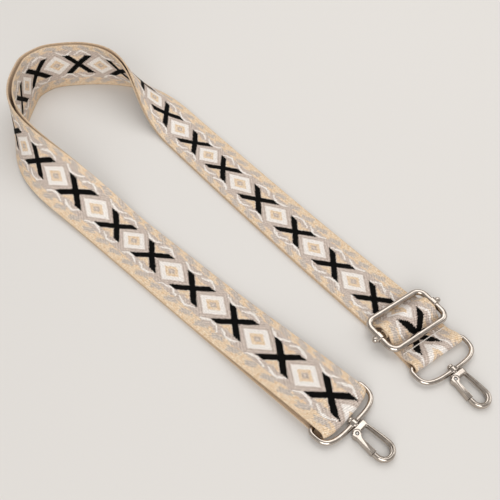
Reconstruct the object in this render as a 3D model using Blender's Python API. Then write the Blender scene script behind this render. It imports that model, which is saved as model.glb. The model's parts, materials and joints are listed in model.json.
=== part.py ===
"""Detachable bag strap: one woven band, doubled, with a slider and a swivel hook at each end.

The strap lies on a table. Its two arms lie flat and point along +X, and the far loop stands on its
outer edge. The band runs from hook A over the slider, round the loop to hook B, and back beneath
itself to the slider. Metres, +Z up, with the origin under the middle of the whole strap.
"""

import math

import bmesh
import bpy
import numpy as np
from mathutils import Matrix, Vector

MM = 0.001
DEG = math.pi / 180

# Webbing
WEBBING_WIDTH = 38 * MM
WEBBING_THICKNESS = 1.3 * MM
FIT_GAP = 0.3 * MM
LOOP_LAYER_GAP = 2.7 * MM
CROSS_SHARES = (0, 0.15, 0.5, 0.85, 1)

# Route of the strap's outer edge, measured both ways from the tip of the loop
TIP_HEADING = 96.96 * DEG
TIP_TURN = 75.05 * DEG
TIP_RUN = 33.25 * MM
STAND_ANGLE = 94.93 * DEG
ARM_A_TURN = 64.74 * DEG
ARM_A_TURN_RUN = 163.6 * MM
ARM_A_FLAT_START = 26.5 * MM
ARM_A_FLAT_RUN = 141.4 * MM
ARM_A_SWAY = -1.8 * DEG
ARM_A_SWAY_START = 200 * MM
ARM_A_SWAY_RUN = 180 * MM
SLIDER_KINK = 5.5 * DEG
SLIDER_KINK_RUN = 24 * MM
SLIDER_KINK_LAG = 0.7 * MM
ARM_B_TURN = 48.72 * DEG
ARM_B_TURN_START = 24.2 * MM
ARM_B_TURN_RUN = 153.5 * MM
ARM_B_FLAT_START = 25.5 * MM
ARM_B_FLAT_RUN = 200 * MM
ROUTE_STEP = 0.5 * MM
LOOP_STEP = 5 * MM
ARM_STEP = 16 * MM

# Where things sit along the strap, from the tip
HOOK_A_BAR_AT = 432.1 * MM
HOOK_B_BAR_AT = 405.3 * MM
SLIDER_AT = 405.6 * MM

# Sewn end at hook A, and the tail that rises to its fold
SEWN_END_LENGTH = 24 * MM
LOWER_END_GAP = 8 * MM
TAIL_RISE_RUN = 9.5 * MM
STITCH_FROM_BAR = 9.9 * MM
STITCH_INSET = 2 * MM
THREAD_WIDTH = 0.8 * MM
THREAD_HEIGHT = 0.4 * MM

# Loose fold at hook B
FOLD_B_HEIGHT = 8.1 * MM
FOLD_B_REACH = 10.3 * MM
FOLD_B_RISE_RUN = 116 * MM
FOLD_B_ROUNDING = 2.6 * MM
FOLD_B_ROUNDING_RUN = 22 * MM

# D-loop
D_WIRE = 3 * MM
D_BAR_CLEARANCE = 0.55 * MM
D_SIDE_CLEARANCE = 0.7 * MM
D_CORNER_RADIUS = 2.8 * MM
D_FRONT_REACH = 14.3 * MM
D_FRONT_POWER = 3.4
BOSS_DIAMETER = 5.4 * MM
BOSS_LENGTH = 3.1 * MM

# Swivel post
POST_DIAMETER = 2.8 * MM
POST_CLEARANCE = 0.3 * MM
POST_HEAD_DIAMETER = 4 * MM
POST_HEAD_LENGTH = 1.8 * MM
POST_SEAT_DEPTH = 2.3 * MM
POST_SEAT_CLEARANCE = 0.2 * MM

# Hook casting
HOOK_GAP = 0.5 * MM
HOOK_LENGTH = 25 * MM
HOOK_THICKNESS = 4.2 * MM
HOOK_BASE_LENGTH = 3.6 * MM
HOOK_BASE_HALF_WIDTH = 5 * MM
HOOK_CORNER = 0.7 * MM
BOW_OUTER_RADIUS = 6.9 * MM
BOW_WIDTH = 3.2 * MM
BOW_SIDE_SHIFT = -0.2 * MM
SPINE_WIDTH_AT_BASE = 2.2 * MM
HOOK_CHAMFER = 0.8 * MM

# Gate
GATE_PIVOT_FROM_BASE = 3.1 * MM
GATE_PIVOT_ASIDE = -3.9 * MM
GATE_LENGTH = 13.1 * MM
GATE_EYE_RADIUS = 2.2 * MM
GATE_WALL = 0.6 * MM
GATE_WEB = 0.5 * MM
GATE_NECK_AT = 3.2 * MM
GATE_NECK_ASIDE = 0.1 * MM
THUMB_TAB_LENGTH = 3 * MM
THUMB_TAB_HEIGHT = 0.5 * MM
LUG_RADIUS = 1.4 * MM
SPRING_SLOT = 1.6 * MM
SPRING_INNER_RADIUS = 1.1 * MM
SPRING_WALL = 0.3 * MM
SPRING_LENGTH = 1 * MM
PIN_DIAMETER = 1.6 * MM
PIN_CLEARANCE = 0.2 * MM
PIN_HEAD_STEP = 0.1 * MM

# Heading of hook B, measured from its arm of the strap
HOOK_B_SKEW = -2 * DEG

# Slider
SLIDER_WIRE = 4 * MM
SLIDER_SIDE_ROOM = 1.5 * MM
SLIDER_LENGTH = 28.7 * MM
SLIDER_CORNER_RADIUS = 5.5 * MM
SLIDER_ASIDE = 0.3 * MM
SLIDER_BAR_DIAMETER = 2.8 * MM
COLLAR_LENGTH = 4.4 * MM
COLLAR_WALL = 0.7 * MM
COLLAR_CLEARANCE = 0.2 * MM
KNOB_DIAMETER = 4 * MM
KNOB_SINK = 1.2 * MM
WRAP_CLEARANCE = 0.15 * MM
WRAP_TAB_LENGTH = 3 * MM
CREST_RUN = 9.7 * MM
CREST_RISE_RUN = 7 * MM
CREST_END = 11.7 * MM
CREST_STEPS = 18

# Facets
WIRE_SIDES = 10
ROUND_SIDES = 16
ARC_STEPS = 7
FOLD_STEPS = 10
OVERRUN = 1 * MM

# What follows from the sizes above
HALF_WIDTH = WEBBING_WIDTH / 2
RETURN_MIDDLE = WEBBING_THICKNESS / 2
RUN_MIDDLE = WEBBING_THICKNESS * 1.5 + FIT_GAP
RUN_TOP = WEBBING_THICKNESS * 2 + FIT_GAP
FOLD_A_RADIUS = D_WIRE / 2 + D_BAR_CLEARANCE + WEBBING_THICKNESS / 2
BAR_HEIGHT = WEBBING_THICKNESS + D_BAR_CLEARANCE + D_WIRE / 2
FOLD_B_RADIUS = (FOLD_B_HEIGHT - WEBBING_THICKNESS) / 2
FOLD_B_AT = HOOK_B_BAR_AT + FOLD_B_REACH - FOLD_B_HEIGHT / 2
D_HALF_WIDTH = HALF_WIDTH + D_SIDE_CLEARANCE + D_WIRE / 2
D_OUTER_REACH = D_FRONT_REACH + D_WIRE / 2
BOSS_START = D_OUTER_REACH - BOSS_LENGTH
POST_HEAD_AT = BOSS_START - POST_CLEARANCE - POST_HEAD_LENGTH
HOOK_START = D_OUTER_REACH + HOOK_GAP
POST_END = HOOK_START + POST_SEAT_DEPTH - POST_CLEARANCE
HOOK_END = HOOK_START + HOOK_LENGTH
BOW_CENTRE = HOOK_END - BOW_OUTER_RADIUS
BOW_INNER_RADIUS = BOW_OUTER_RADIUS - BOW_WIDTH
PIVOT = Vector((HOOK_START + GATE_PIVOT_FROM_BASE, GATE_PIVOT_ASIDE, 0))
GATE_THICKNESS = HOOK_THICKNESS
GATE_HEEL = PIVOT.y - GATE_EYE_RADIUS
GATE_TIP = BOW_SIDE_SHIFT - BOW_OUTER_RADIUS
TONGUE_THICKNESS = GATE_THICKNESS - 2 * (GATE_WALL + FIT_GAP)
HOOK_DROOP = math.asin((BAR_HEIGHT - HOOK_THICKNESS / 2) / HOOK_END)
COLLAR_RADIUS = SLIDER_WIRE / 2 + COLLAR_CLEARANCE + COLLAR_WALL
SLIDER_SIDE = HALF_WIDTH + SLIDER_SIDE_ROOM + SLIDER_WIRE / 2
SLIDER_END = (SLIDER_LENGTH - SLIDER_WIRE) / 2
CREST_FOOT = RUN_TOP + FIT_GAP + WEBBING_THICKNESS / 2
SLIDER_HEIGHT = CREST_FOOT + WEBBING_THICKNESS / 2 + FIT_GAP + SLIDER_WIRE / 2
WRAP_RADIUS = SLIDER_BAR_DIAMETER / 2 + WRAP_CLEARANCE
CREST_TOP = SLIDER_HEIGHT + WRAP_RADIUS + WEBBING_THICKNESS * 1.5 + FIT_GAP
KNOB_AT = SLIDER_SIDE + COLLAR_RADIUS + KNOB_DIAMETER / 2 - KNOB_SINK


def smooth(value):
    """Rises from 0 to 1 while value goes from 0 to 1, with level ends."""
    value = np.clip(value, 0, 1)
    return value * value * (3 - 2 * value)


# Materials


def material(name, colour, roughness, metallic):
    """A plain Principled material."""
    made = bpy.data.materials.new(name)
    made.use_nodes = True
    shader = made.node_tree.nodes["Principled BSDF"]
    shader.inputs["Base Color"].default_value = (*colour, 1)
    shader.inputs["Roughness"].default_value = roughness
    shader.inputs["Metallic"].default_value = metallic
    return made


def webbing_material(name):
    return material(name, (0.68, 0.56, 0.46), 0.85, 0)


def thread_material(name):
    return material(name, (0.85, 0.82, 0.76), 0.8, 0)


def nickel_material(name):
    return material(name, (0.78, 0.76, 0.72), 0.22, 1)


def steel_material(name):
    return material(name, (0.6, 0.6, 0.6), 0.35, 1)


# Building blocks


def add_object(name, mesh, finish=None):
    """Links a mesh as an object at the origin, with its normals facing out."""
    bm = bmesh.new()
    bm.from_mesh(mesh)
    bmesh.ops.recalc_face_normals(bm, faces=bm.faces)
    bm.to_mesh(mesh)
    bm.free()
    made = bpy.data.objects.new(name, mesh)
    bpy.context.scene.collection.objects.link(made)
    if finish:
        made.data.materials.append(finish)
    return made


def from_bmesh(name, bm, finish=None):
    mesh = bpy.data.meshes.new(name)
    bm.to_mesh(mesh)
    bm.free()
    return add_object(name, mesh, finish)


def prism(name, outline, bottom, top, finish=None):
    """A flat outline in XY, extruded from one height to another."""
    bm = bmesh.new()
    corners = [bm.verts.new((x, y, bottom)) for x, y in outline]
    face = bm.faces.new(corners)
    raised = bmesh.ops.extrude_face_region(bm, geom=[face])
    moved = [part for part in raised["geom"] if isinstance(part, bmesh.types.BMVert)]
    bmesh.ops.translate(bm, verts=moved, vec=(0, 0, top - bottom))
    return from_bmesh(name, bm, finish)


def cylinder(name, radius, start, end, finish=None, sides=ROUND_SIDES):
    """A round bar from one point to another."""
    start, end = Vector(start), Vector(end)
    bm = bmesh.new()
    length = (end - start).length
    bmesh.ops.create_cone(
        bm, cap_ends=True, segments=sides, radius1=radius, radius2=radius, depth=length
    )
    turn = Vector((0, 0, 1)).rotation_difference(end - start).to_matrix().to_4x4()
    place = Matrix.Translation((start + end) / 2) @ turn
    bmesh.ops.transform(bm, matrix=place, verts=bm.verts)
    return from_bmesh(name, bm, finish)


def ball(name, radius, centre):
    bm = bmesh.new()
    bmesh.ops.create_uvsphere(bm, u_segments=ROUND_SIDES, v_segments=WIRE_SIDES, radius=radius)
    bmesh.ops.translate(bm, verts=bm.verts, vec=centre)
    return from_bmesh(name, bm)


def ring(name, inner, outer, half_length, centre, finish):
    """A round sleeve about an axis along Z."""
    bm = bmesh.new()
    low, high = -half_length, half_length
    corners = ((inner, low), (outer, low), (outer, high), (inner, high))
    profile = [bm.verts.new((radius, 0, height)) for radius, height in corners]
    edges = [bm.edges.new((profile[i], profile[i - 1])) for i in range(len(profile))]
    bmesh.ops.spin(
        bm,
        geom=profile + edges,
        cent=(0, 0, 0),
        axis=(0, 0, 1),
        angle=2 * math.pi,
        steps=ROUND_SIDES,
        use_merge=True,
    )
    bmesh.ops.translate(bm, verts=bm.verts, vec=centre)
    return from_bmesh(name, bm, finish)


def wire_ring(name, points, diameter, finish=None):
    """A closed ring of round wire along points in the XY plane."""
    curve = bpy.data.curves.new(name, "CURVE")
    curve.dimensions = "3D"
    curve.bevel_depth = diameter / 2
    curve.bevel_resolution = WIRE_SIDES // 2 - 2
    spline = curve.splines.new("POLY")
    spline.points.add(len(points) - 1)
    for spot, (x, y) in zip(spline.points, points):
        spot.co = (x, y, 0, 1)
    spline.use_cyclic_u = True
    holder = bpy.data.objects.new(name, curve)
    mesh = bpy.data.meshes.new_from_object(holder)
    bpy.data.objects.remove(holder)
    bpy.data.curves.remove(curve)
    made = add_object(name, mesh)
    if finish:
        made.data.materials.clear()
        made.data.materials.append(finish)
    return made


def combine(target, other, operation):
    """Joins or cuts the target with another solid, which is used up."""
    step = target.modifiers.new(operation.lower(), "BOOLEAN")
    step.operation = operation
    step.solver = "EXACT"
    step.object = other
    bpy.context.view_layer.update()
    evaluated = target.evaluated_get(bpy.context.evaluated_depsgraph_get())
    result = bpy.data.meshes.new_from_object(evaluated)
    finish = target.data.materials[0] if target.data.materials else None
    target.modifiers.remove(step)
    target.data = result
    target.data.materials.clear()
    if finish:
        target.data.materials.append(finish)
    bpy.data.objects.remove(other)


def round_edges(target, width):
    """Chamfers every sharp edge of a solid."""
    bevel = target.modifiers.new("chamfer", "BEVEL")
    bevel.width = width
    bevel.segments = 1
    bevel.limit_method = "ANGLE"
    bevel.angle_limit = 50 * DEG
    bpy.context.view_layer.update()
    evaluated = target.evaluated_get(bpy.context.evaluated_depsgraph_get())
    result = bpy.data.meshes.new_from_object(evaluated)
    target.modifiers.remove(bevel)
    target.data = result


def shade_round(target):
    target.data.shade_smooth()
    target.data.set_sharp_from_angle(angle=40 * DEG)


def seat(target, parent, origin):
    """Gives a piece, modelled in its parent's frame, an origin of its own there."""
    target.data.transform(Matrix.Translation(-Vector(origin)))
    target.location = origin
    target.parent = parent
    shade_round(target)


def empty(name, location, rotation, parent=None):
    made = bpy.data.objects.new(name, None)
    made.location = location
    made.rotation_euler = rotation
    made.parent = parent
    bpy.context.scene.collection.objects.link(made)
    return made


def arc(centre, radius, start, end, steps):
    """Points of a round stretch in the XY plane, both ends included."""
    angles = [start + (end - start) * i / steps for i in range(steps + 1)]
    return [(centre[0] + radius * math.cos(a), centre[1] + radius * math.sin(a)) for a in angles]


# Route of the strap


def heading(place):
    """Direction of travel at a place along the outer edge: 0 at the tip, + on arm A, - on arm B."""
    along = np.abs(place)
    tip = TIP_TURN / 2 * smooth(along / (TIP_RUN / 2))
    arm_a = ARM_A_TURN * smooth(along / ARM_A_TURN_RUN)
    arm_a = arm_a + ARM_A_SWAY * smooth((along - ARM_A_SWAY_START) / ARM_A_SWAY_RUN)
    kink_start = SLIDER_AT + SLIDER_KINK_LAG - SLIDER_KINK_RUN / 2
    arm_a = arm_a + SLIDER_KINK * smooth((along - kink_start) / SLIDER_KINK_RUN)
    arm_b = ARM_B_TURN * smooth((along - ARM_B_TURN_START) / ARM_B_TURN_RUN)
    return np.where(place >= 0, TIP_HEADING - tip - arm_a, TIP_HEADING + tip + arm_b)


def lean(place):
    """Angle of the strap's width from the table: 0 on the arms, a little past upright at the tip."""
    along = np.abs(place)
    flat_a = smooth((along - ARM_A_FLAT_START) / ARM_A_FLAT_RUN)
    flat_b = smooth((along - ARM_B_FLAT_START) / ARM_B_FLAT_RUN)
    return STAND_ANGLE * (1 - np.where(place >= 0, flat_a, flat_b))


def walk(sign):
    """Points of the outer edge along one arm, stepped from the tip."""
    count = math.ceil((max(HOOK_A_BAR_AT, HOOK_B_BAR_AT) + WEBBING_WIDTH) / ROUTE_STEP)
    middles = sign * (np.arange(count) + 0.5) * ROUTE_STEP
    turn = heading(middles)
    steps = sign * ROUTE_STEP * np.stack([np.cos(turn), np.sin(turn)], axis=1)
    return np.vstack([np.zeros(2), np.cumsum(steps, axis=0)])


EDGE_A = walk(1)
EDGE_B = walk(-1)


def edge_point(place):
    """Where the outer edge is at a place along the strap."""
    points = EDGE_A if place >= 0 else EDGE_B
    steps = np.arange(len(points)) * ROUTE_STEP
    return [np.interp(abs(place), steps, points[:, axis]) for axis in (0, 1)]


def strap_frame(place):
    """Outer edge point and the along, across and out directions of the strap at a place."""
    turn = float(heading(np.float64(place)))
    tilt = float(lean(np.float64(place)))
    x, y = edge_point(place)
    along = Vector((math.cos(turn), math.sin(turn), 0))
    inward = Vector((math.sin(turn), -math.cos(turn), 0))
    up = Vector((0, 0, 1))
    across = inward * math.cos(tilt) + up * math.sin(tilt)
    out = up * math.cos(tilt) - inward * math.sin(tilt)
    return Vector((x, y, 0)), along, across, out


def centre_of(place, height):
    """A point over the strap's centre line."""
    edge, _, across, out = strap_frame(place)
    return edge + across * HALF_WIDTH + out * height


def loop_share(place):
    """1 where the loop stands up, 0 where the arms lie flat."""
    return float(lean(np.float64(place))) / STAND_ANGLE


def running_height(place):
    """Middle of the upper layer over the strap's foot, out of the fold's and the tail's rise."""
    height = RUN_MIDDLE + LOOP_LAYER_GAP * loop_share(place)
    if place < 0:
        climb = smooth((-place - FOLD_B_AT + FOLD_B_RISE_RUN) / FOLD_B_RISE_RUN)
        height += (RETURN_MIDDLE + 2 * FOLD_B_RADIUS - RUN_MIDDLE) * float(climb)
    return height


def arm_places(start, end):
    """Places between two ends, close together in the loop and wider apart on the arms."""
    places = [start]
    loop_half = max(ARM_A_FLAT_START + ARM_A_FLAT_RUN, ARM_A_TURN_RUN)
    while places[-1] < end:
        here = places[-1]
        step = LOOP_STEP if abs(here + ARM_STEP / 2) < loop_half + ARM_STEP else ARM_STEP
        places.append(here + step)
    if end - places[-2] < LOOP_STEP:
        places.pop()
    places[-1] = end
    return places


# Webbing


def band_mesh(name, path, cross_shares, shift=None):
    """A band of webbing that follows a path of (place along the strap, height of its middle)."""
    bm = bmesh.new()
    sections = []
    for i, (place, height) in enumerate(path):
        before, after = path[max(i - 1, 0)], path[min(i + 1, len(path) - 1)]
        slope = math.atan2(after[1] - before[1], after[0] - before[0])
        edge, along, across, out = strap_frame(place)
        lift = max(0, -out.z) * (height + WEBBING_THICKNESS / 2)
        through = out * math.cos(slope) - along * math.sin(slope)
        lower, upper = [], []
        for share in cross_shares:
            back = shift(place, share) if shift else 0
            spot = edge + across * WEBBING_WIDTH * share + out * height + along * back
            spot.z += lift
            lower.append(bm.verts.new(spot - through * WEBBING_THICKNESS / 2))
            upper.append(bm.verts.new(spot + through * WEBBING_THICKNESS / 2))
        sections.append((lower + upper[::-1], place))
    columns = len(cross_shares)
    count = 2 * columns
    for (first, here), (second, there) in zip(sections, sections[1:]):
        for j in range(count):
            k = (j + 1) % count
            quad = (first[j], first[k], second[k], second[j])
            rising = (there >= here) == (j < columns)
            start = 0 if rising else 1
            turned = quad[start:] + quad[:start]
            bm.faces.new((turned[0], turned[1], turned[2]))
            bm.faces.new((turned[0], turned[2], turned[3]))
    for section, _ in (sections[0], sections[-1]):
        for j in range(columns - 1):
            bm.faces.new((section[j], section[j + 1], section[count - 2 - j], section[count - 1 - j]))
    return from_bmesh(name, bm, webbing_material(name))


def fold_b_shift(place, share):
    """The loose fold at hook B is rounded at its corners."""
    ease = smooth((-place - FOLD_B_AT + FOLD_B_ROUNDING_RUN) / FOLD_B_ROUNDING_RUN)
    return FOLD_B_ROUNDING * float(ease) * abs(2 * share - 1) ** 4


def strap_webbing():
    """The whole band: sewn end, fold at hook A, upper layer, fold at hook B and lower layer."""
    path = [(HOOK_A_BAR_AT - SEWN_END_LENGTH, RETURN_MIDDLE), (HOOK_A_BAR_AT, RETURN_MIDDLE)]
    top = RETURN_MIDDLE + 2 * FOLD_A_RADIUS
    quarter = math.pi / 2
    centre_a = (HOOK_A_BAR_AT, RETURN_MIDDLE + FOLD_A_RADIUS)
    path += arc(centre_a, FOLD_A_RADIUS, -quarter, quarter, FOLD_STEPS)[1:]
    for i in range(1, ARC_STEPS):
        share = i / ARC_STEPS
        height = top + (RUN_MIDDLE - top) * float(smooth(share))
        path.append((HOOK_A_BAR_AT - TAIL_RISE_RUN * share, height))
    rise_end = HOOK_A_BAR_AT - TAIL_RISE_RUN
    places = arm_places(-FOLD_B_AT, rise_end)
    path += [(place, running_height(place)) for place in reversed(places)]
    centre_b = (-FOLD_B_AT, RETURN_MIDDLE + FOLD_B_RADIUS)
    path += arc(centre_b, FOLD_B_RADIUS, quarter, 3 * quarter, FOLD_STEPS)[1:]
    lower_end = HOOK_A_BAR_AT - SEWN_END_LENGTH - LOWER_END_GAP
    lower = [place for place in places[1:] if place < lower_end - LOOP_STEP] + [lower_end]
    path += [(place, RETURN_MIDDLE) for place in lower]
    return band_mesh("strap_webbing", path, CROSS_SHARES, fold_b_shift)


def thread_row(name, start, end, width, height):
    """A row of sewing thread laid from one point to another."""
    along = (end - start).normalized()
    side = along.cross(Vector((0, 0, 1))) * width / 2
    outline = [start + side, end + side, end - side, start - side]
    corners = [(spot.x, spot.y) for spot in outline]
    return prism(name, corners, start.z, start.z + height, thread_material(name))


def hook_a_stitching():
    """The row of thread across the tail that closes the sewn end."""
    edge, _, across, out = strap_frame(HOOK_A_BAR_AT - STITCH_FROM_BAR)
    base = edge + out * (RUN_TOP + FIT_GAP)
    start = base + across * STITCH_INSET
    end = base + across * (WEBBING_WIDTH - STITCH_INSET)
    return thread_row("hook_a_stitching", start, end, THREAD_WIDTH, THREAD_HEIGHT)


# Slider: modelled with its bar along Y, its origin on the bar's middle and the strap along X


def slider_frame(mount):
    outline = []
    for side, end, start in ((1, 1, 0), (1, -1, 1), (-1, -1, 2), (-1, 1, 3)):
        centre = (
            end * (SLIDER_END - SLIDER_CORNER_RADIUS),
            side * (SLIDER_SIDE - SLIDER_CORNER_RADIUS) + SLIDER_ASIDE,
        )
        first = start * math.pi / 2
        outline += arc(centre, SLIDER_CORNER_RADIUS, first, first + math.pi / 2, ARC_STEPS)
    frame = wire_ring("slider_frame", outline, SLIDER_WIRE, nickel_material("slider_frame"))
    seat(frame, mount, (0, 0, 0))


def slider_bar(mount):
    """Straight bar whose ends are curled round the frame's sides and end in a knob."""
    reach = SLIDER_SIDE + COLLAR_RADIUS
    middle = Vector((0, SLIDER_ASIDE, 0))
    ends = [middle + Vector((0, side * reach, 0)) for side in (-1, 1)]
    bar = cylinder("slider_bar", SLIDER_BAR_DIAMETER / 2, *ends, nickel_material("slider_bar"))
    for side in (-1, 1):
        collar_at = middle + Vector((0, side * SLIDER_SIDE, 0))
        half = Vector((COLLAR_LENGTH / 2, 0, 0))
        combine(bar, cylinder("collar", COLLAR_RADIUS, collar_at - half, collar_at + half), "UNION")
        knob_at = middle + Vector((0, side * KNOB_AT, 0))
        combine(bar, ball("knob", KNOB_DIAMETER / 2, knob_at), "UNION")
        past = half + Vector((OVERRUN, 0, 0))
        bore = SLIDER_WIRE / 2 + COLLAR_CLEARANCE
        combine(bar, cylinder("bore", bore, collar_at - past, collar_at + past), "DIFFERENCE")
    seat(bar, mount, (0, 0, 0))


def crest_height(along):
    """Middle of the webbing where it passes over the bar, above the table."""
    rise = smooth((CREST_RUN - abs(along)) / CREST_RISE_RUN)
    return CREST_FOOT + (CREST_TOP - CREST_FOOT) * float(rise)


def slab_along_y(name, outline, finish):
    """An outline in XZ, extruded across the webbing's width."""
    made = prism(name, outline, -HALF_WIDTH, HALF_WIDTH, finish)
    made.data.transform(Matrix.Rotation(math.pi / 2, 4, "X"))
    return made


def slider_webbing_crest(mount):
    """The part of the running layer that stands over the slider's bar."""
    places = [CREST_END * (2 * i / CREST_STEPS - 1) for i in range(CREST_STEPS + 1)]
    middle = [(x, crest_height(x) - SLIDER_HEIGHT) for x in places]
    upper, lower = [], []
    for i, (x, z) in enumerate(middle):
        before, after = middle[max(i - 1, 0)], middle[min(i + 1, CREST_STEPS)]
        slope = math.atan2(after[1] - before[1], after[0] - before[0])
        rise = WEBBING_THICKNESS / 2 * math.cos(slope)
        run = WEBBING_THICKNESS / 2 * math.sin(slope)
        upper.append((x - run, z + rise))
        lower.append((x + run, z - rise))
    name = "slider_webbing_crest"
    crest = slab_along_y(name, lower + upper[::-1], webbing_material(name))
    seat(crest, mount, (0, 0, 0))


def slider_webbing_end(mount):
    """The band's inner end, sewn round the slider's bar, with its seam toward the loop."""
    name = "slider_webbing_end"
    outer = WRAP_RADIUS + WEBBING_THICKNESS
    lowest = RUN_TOP + FIT_GAP - SLIDER_HEIGHT
    tab_start = math.asin((lowest + WEBBING_THICKNESS) / outer)
    outline = arc((0, 0), outer, -math.pi / 2, math.pi - tab_start, ROUND_SIDES)
    tab_end = -outer - WRAP_TAB_LENGTH
    outline += [(tab_end, lowest + WEBBING_THICKNESS), (tab_end, lowest)]
    wrap = slab_along_y(name, outline, webbing_material(name))
    past = Vector((0, HALF_WIDTH + OVERRUN, 0))
    combine(wrap, cylinder("bar_room", WRAP_RADIUS, -past, past), "DIFFERENCE")
    seat(wrap, mount, (0, 0, 0))


def slider_end_stitching(mount):
    """The hidden row of thread that closes the end round the bar."""
    height = RUN_TOP + 2 * FIT_GAP + WEBBING_THICKNESS - SLIDER_HEIGHT
    at = -WRAP_RADIUS - WEBBING_THICKNESS - WRAP_TAB_LENGTH / 2
    reach = HALF_WIDTH - STITCH_INSET
    ends = [Vector((at, side * reach, height)) for side in (-1, 1)]
    row = thread_row("slider_end_stitching", *ends, THREAD_WIDTH, THREAD_HEIGHT)
    seat(row, mount, (0, 0, 0))


def slider():
    tail_turn = float(heading(np.float64(HOOK_A_BAR_AT)))
    mount = empty("slider_mount", centre_of(SLIDER_AT, SLIDER_HEIGHT), (0, 0, tail_turn))
    slider_bar(mount)
    slider_webbing_crest(mount)
    slider_webbing_end(mount)
    slider_end_stitching(mount)
    slider_frame(mount)
    return mount


# Hooks: modelled with the D-loop's bar along Y at the origin and the hook toward +X


def d_loop_outline():
    """Wire axis of the D-loop: straight bar, tight corners and a full curved front."""
    side = D_HALF_WIDTH - D_CORNER_RADIUS
    corner = arc((D_CORNER_RADIUS, side), D_CORNER_RADIUS, math.pi, math.pi / 2, ARC_STEPS - 2)
    front = []
    depth = D_FRONT_REACH - D_CORNER_RADIUS
    steps = 2 * ARC_STEPS
    for i in range(1, steps + 1):
        angle = math.pi / 2 * (1 - i / steps)
        x = D_CORNER_RADIUS + depth * math.cos(angle) ** (2 / D_FRONT_POWER)
        front.append((x, D_HALF_WIDTH * math.sin(angle) ** (2 / D_FRONT_POWER)))
    half = corner + front
    return half + [(x, -y) for x, y in half[-2::-1]]


def d_loop(name, mount):
    loop = wire_ring(name, d_loop_outline(), D_WIRE, nickel_material(name))
    start, end = Vector((BOSS_START, 0, 0)), Vector((D_OUTER_REACH, 0, 0))
    combine(loop, cylinder("boss", BOSS_DIAMETER / 2, start, end), "UNION")
    past = Vector((OVERRUN, 0, 0))
    bore = POST_DIAMETER / 2 + POST_CLEARANCE
    combine(loop, cylinder("bore", bore, start - past, end + past), "DIFFERENCE")
    seat(loop, mount, (0, 0, 0))


def swivel_post(name, mount):
    """Turned post: a flat head inside the D-loop and a shank seated in the hook's base."""
    head_start = Vector((POST_HEAD_AT, 0, 0))
    head_length = Vector((POST_HEAD_LENGTH, 0, 0))
    start, end = head_start + head_length / 2, Vector((POST_END, 0, 0))
    post = cylinder(name, POST_DIAMETER / 2, start, end, nickel_material(name))
    head = cylinder("head", POST_HEAD_DIAMETER / 2, head_start, head_start + head_length)
    combine(post, head, "UNION")
    seat(post, mount, head_start)


def casting_outline():
    """Base, spine, bow and nose of the hook as one open outline."""
    base_front = HOOK_START + HOOK_BASE_LENGTH
    bow = (BOW_CENTRE, BOW_SIDE_SHIFT)
    nose_radius = GATE_LENGTH + FIT_GAP
    outer_low = math.asin((BOW_SIDE_SHIFT - BOW_OUTER_RADIUS - PIVOT.y) / nose_radius)
    inner_low = math.asin((BOW_SIDE_SHIFT - BOW_INNER_RADIUS - PIVOT.y) / nose_radius)
    spine_inner = HOOK_BASE_HALF_WIDTH - SPINE_WIDTH_AT_BASE
    outline = [(HOOK_START, HOOK_BASE_HALF_WIDTH - HOOK_CORNER)]
    outline += [(HOOK_START + HOOK_CORNER, HOOK_BASE_HALF_WIDTH)]
    outline += arc(bow, BOW_OUTER_RADIUS, math.pi / 2, -math.pi / 2, 2 * ARC_STEPS)
    outline += arc(PIVOT, nose_radius, outer_low, inner_low, 2)
    outline += arc(bow, BOW_INNER_RADIUS, -math.pi / 2, math.pi / 2, 2 * ARC_STEPS + 1)
    outline += [(base_front + HOOK_CORNER, spine_inner), (base_front, spine_inner - HOOK_CORNER)]
    outline += arc(PIVOT, LUG_RADIUS, math.pi / 4, -math.pi / 2, ARC_STEPS)
    shoulder = PIVOT.x - GATE_EYE_RADIUS - FIT_GAP
    outline += [(shoulder, -HOOK_BASE_HALF_WIDTH), (HOOK_START, HOOK_CORNER - HOOK_BASE_HALF_WIDTH)]
    return outline


def hook_body(name, mount):
    half = HOOK_THICKNESS / 2
    body = prism(name, casting_outline(), -half, half, nickel_material(name))
    round_edges(body, HOOK_CHAMFER)
    up = Vector((0, 0, 1))
    cheek_room = GATE_EYE_RADIUS + FIT_GAP
    for side in (-1, 1):
        near = PIVOT + up * side * TONGUE_THICKNESS / 2
        far = PIVOT + up * side * (half + OVERRUN)
        combine(body, cylinder("cheek_room", cheek_room, near, far), "DIFFERENCE")
    slot = up * SPRING_SLOT / 2
    combine(body, cylinder("spring_slot", cheek_room, PIVOT - slot, PIVOT + slot), "DIFFERENCE")
    through = up * (half + OVERRUN)
    pin_hole = PIN_DIAMETER / 2 + PIN_CLEARANCE
    combine(body, cylinder("pin_hole", pin_hole, PIVOT - through, PIVOT + through), "DIFFERENCE")
    start = Vector((HOOK_START - OVERRUN, 0, 0))
    end = Vector((HOOK_START + POST_SEAT_DEPTH, 0, 0))
    seat_hole = POST_DIAMETER / 2 + POST_SEAT_CLEARANCE
    combine(body, cylinder("post_seat", seat_hole, start, end), "DIFFERENCE")
    seat(body, mount, (HOOK_START, 0, 0))


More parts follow.
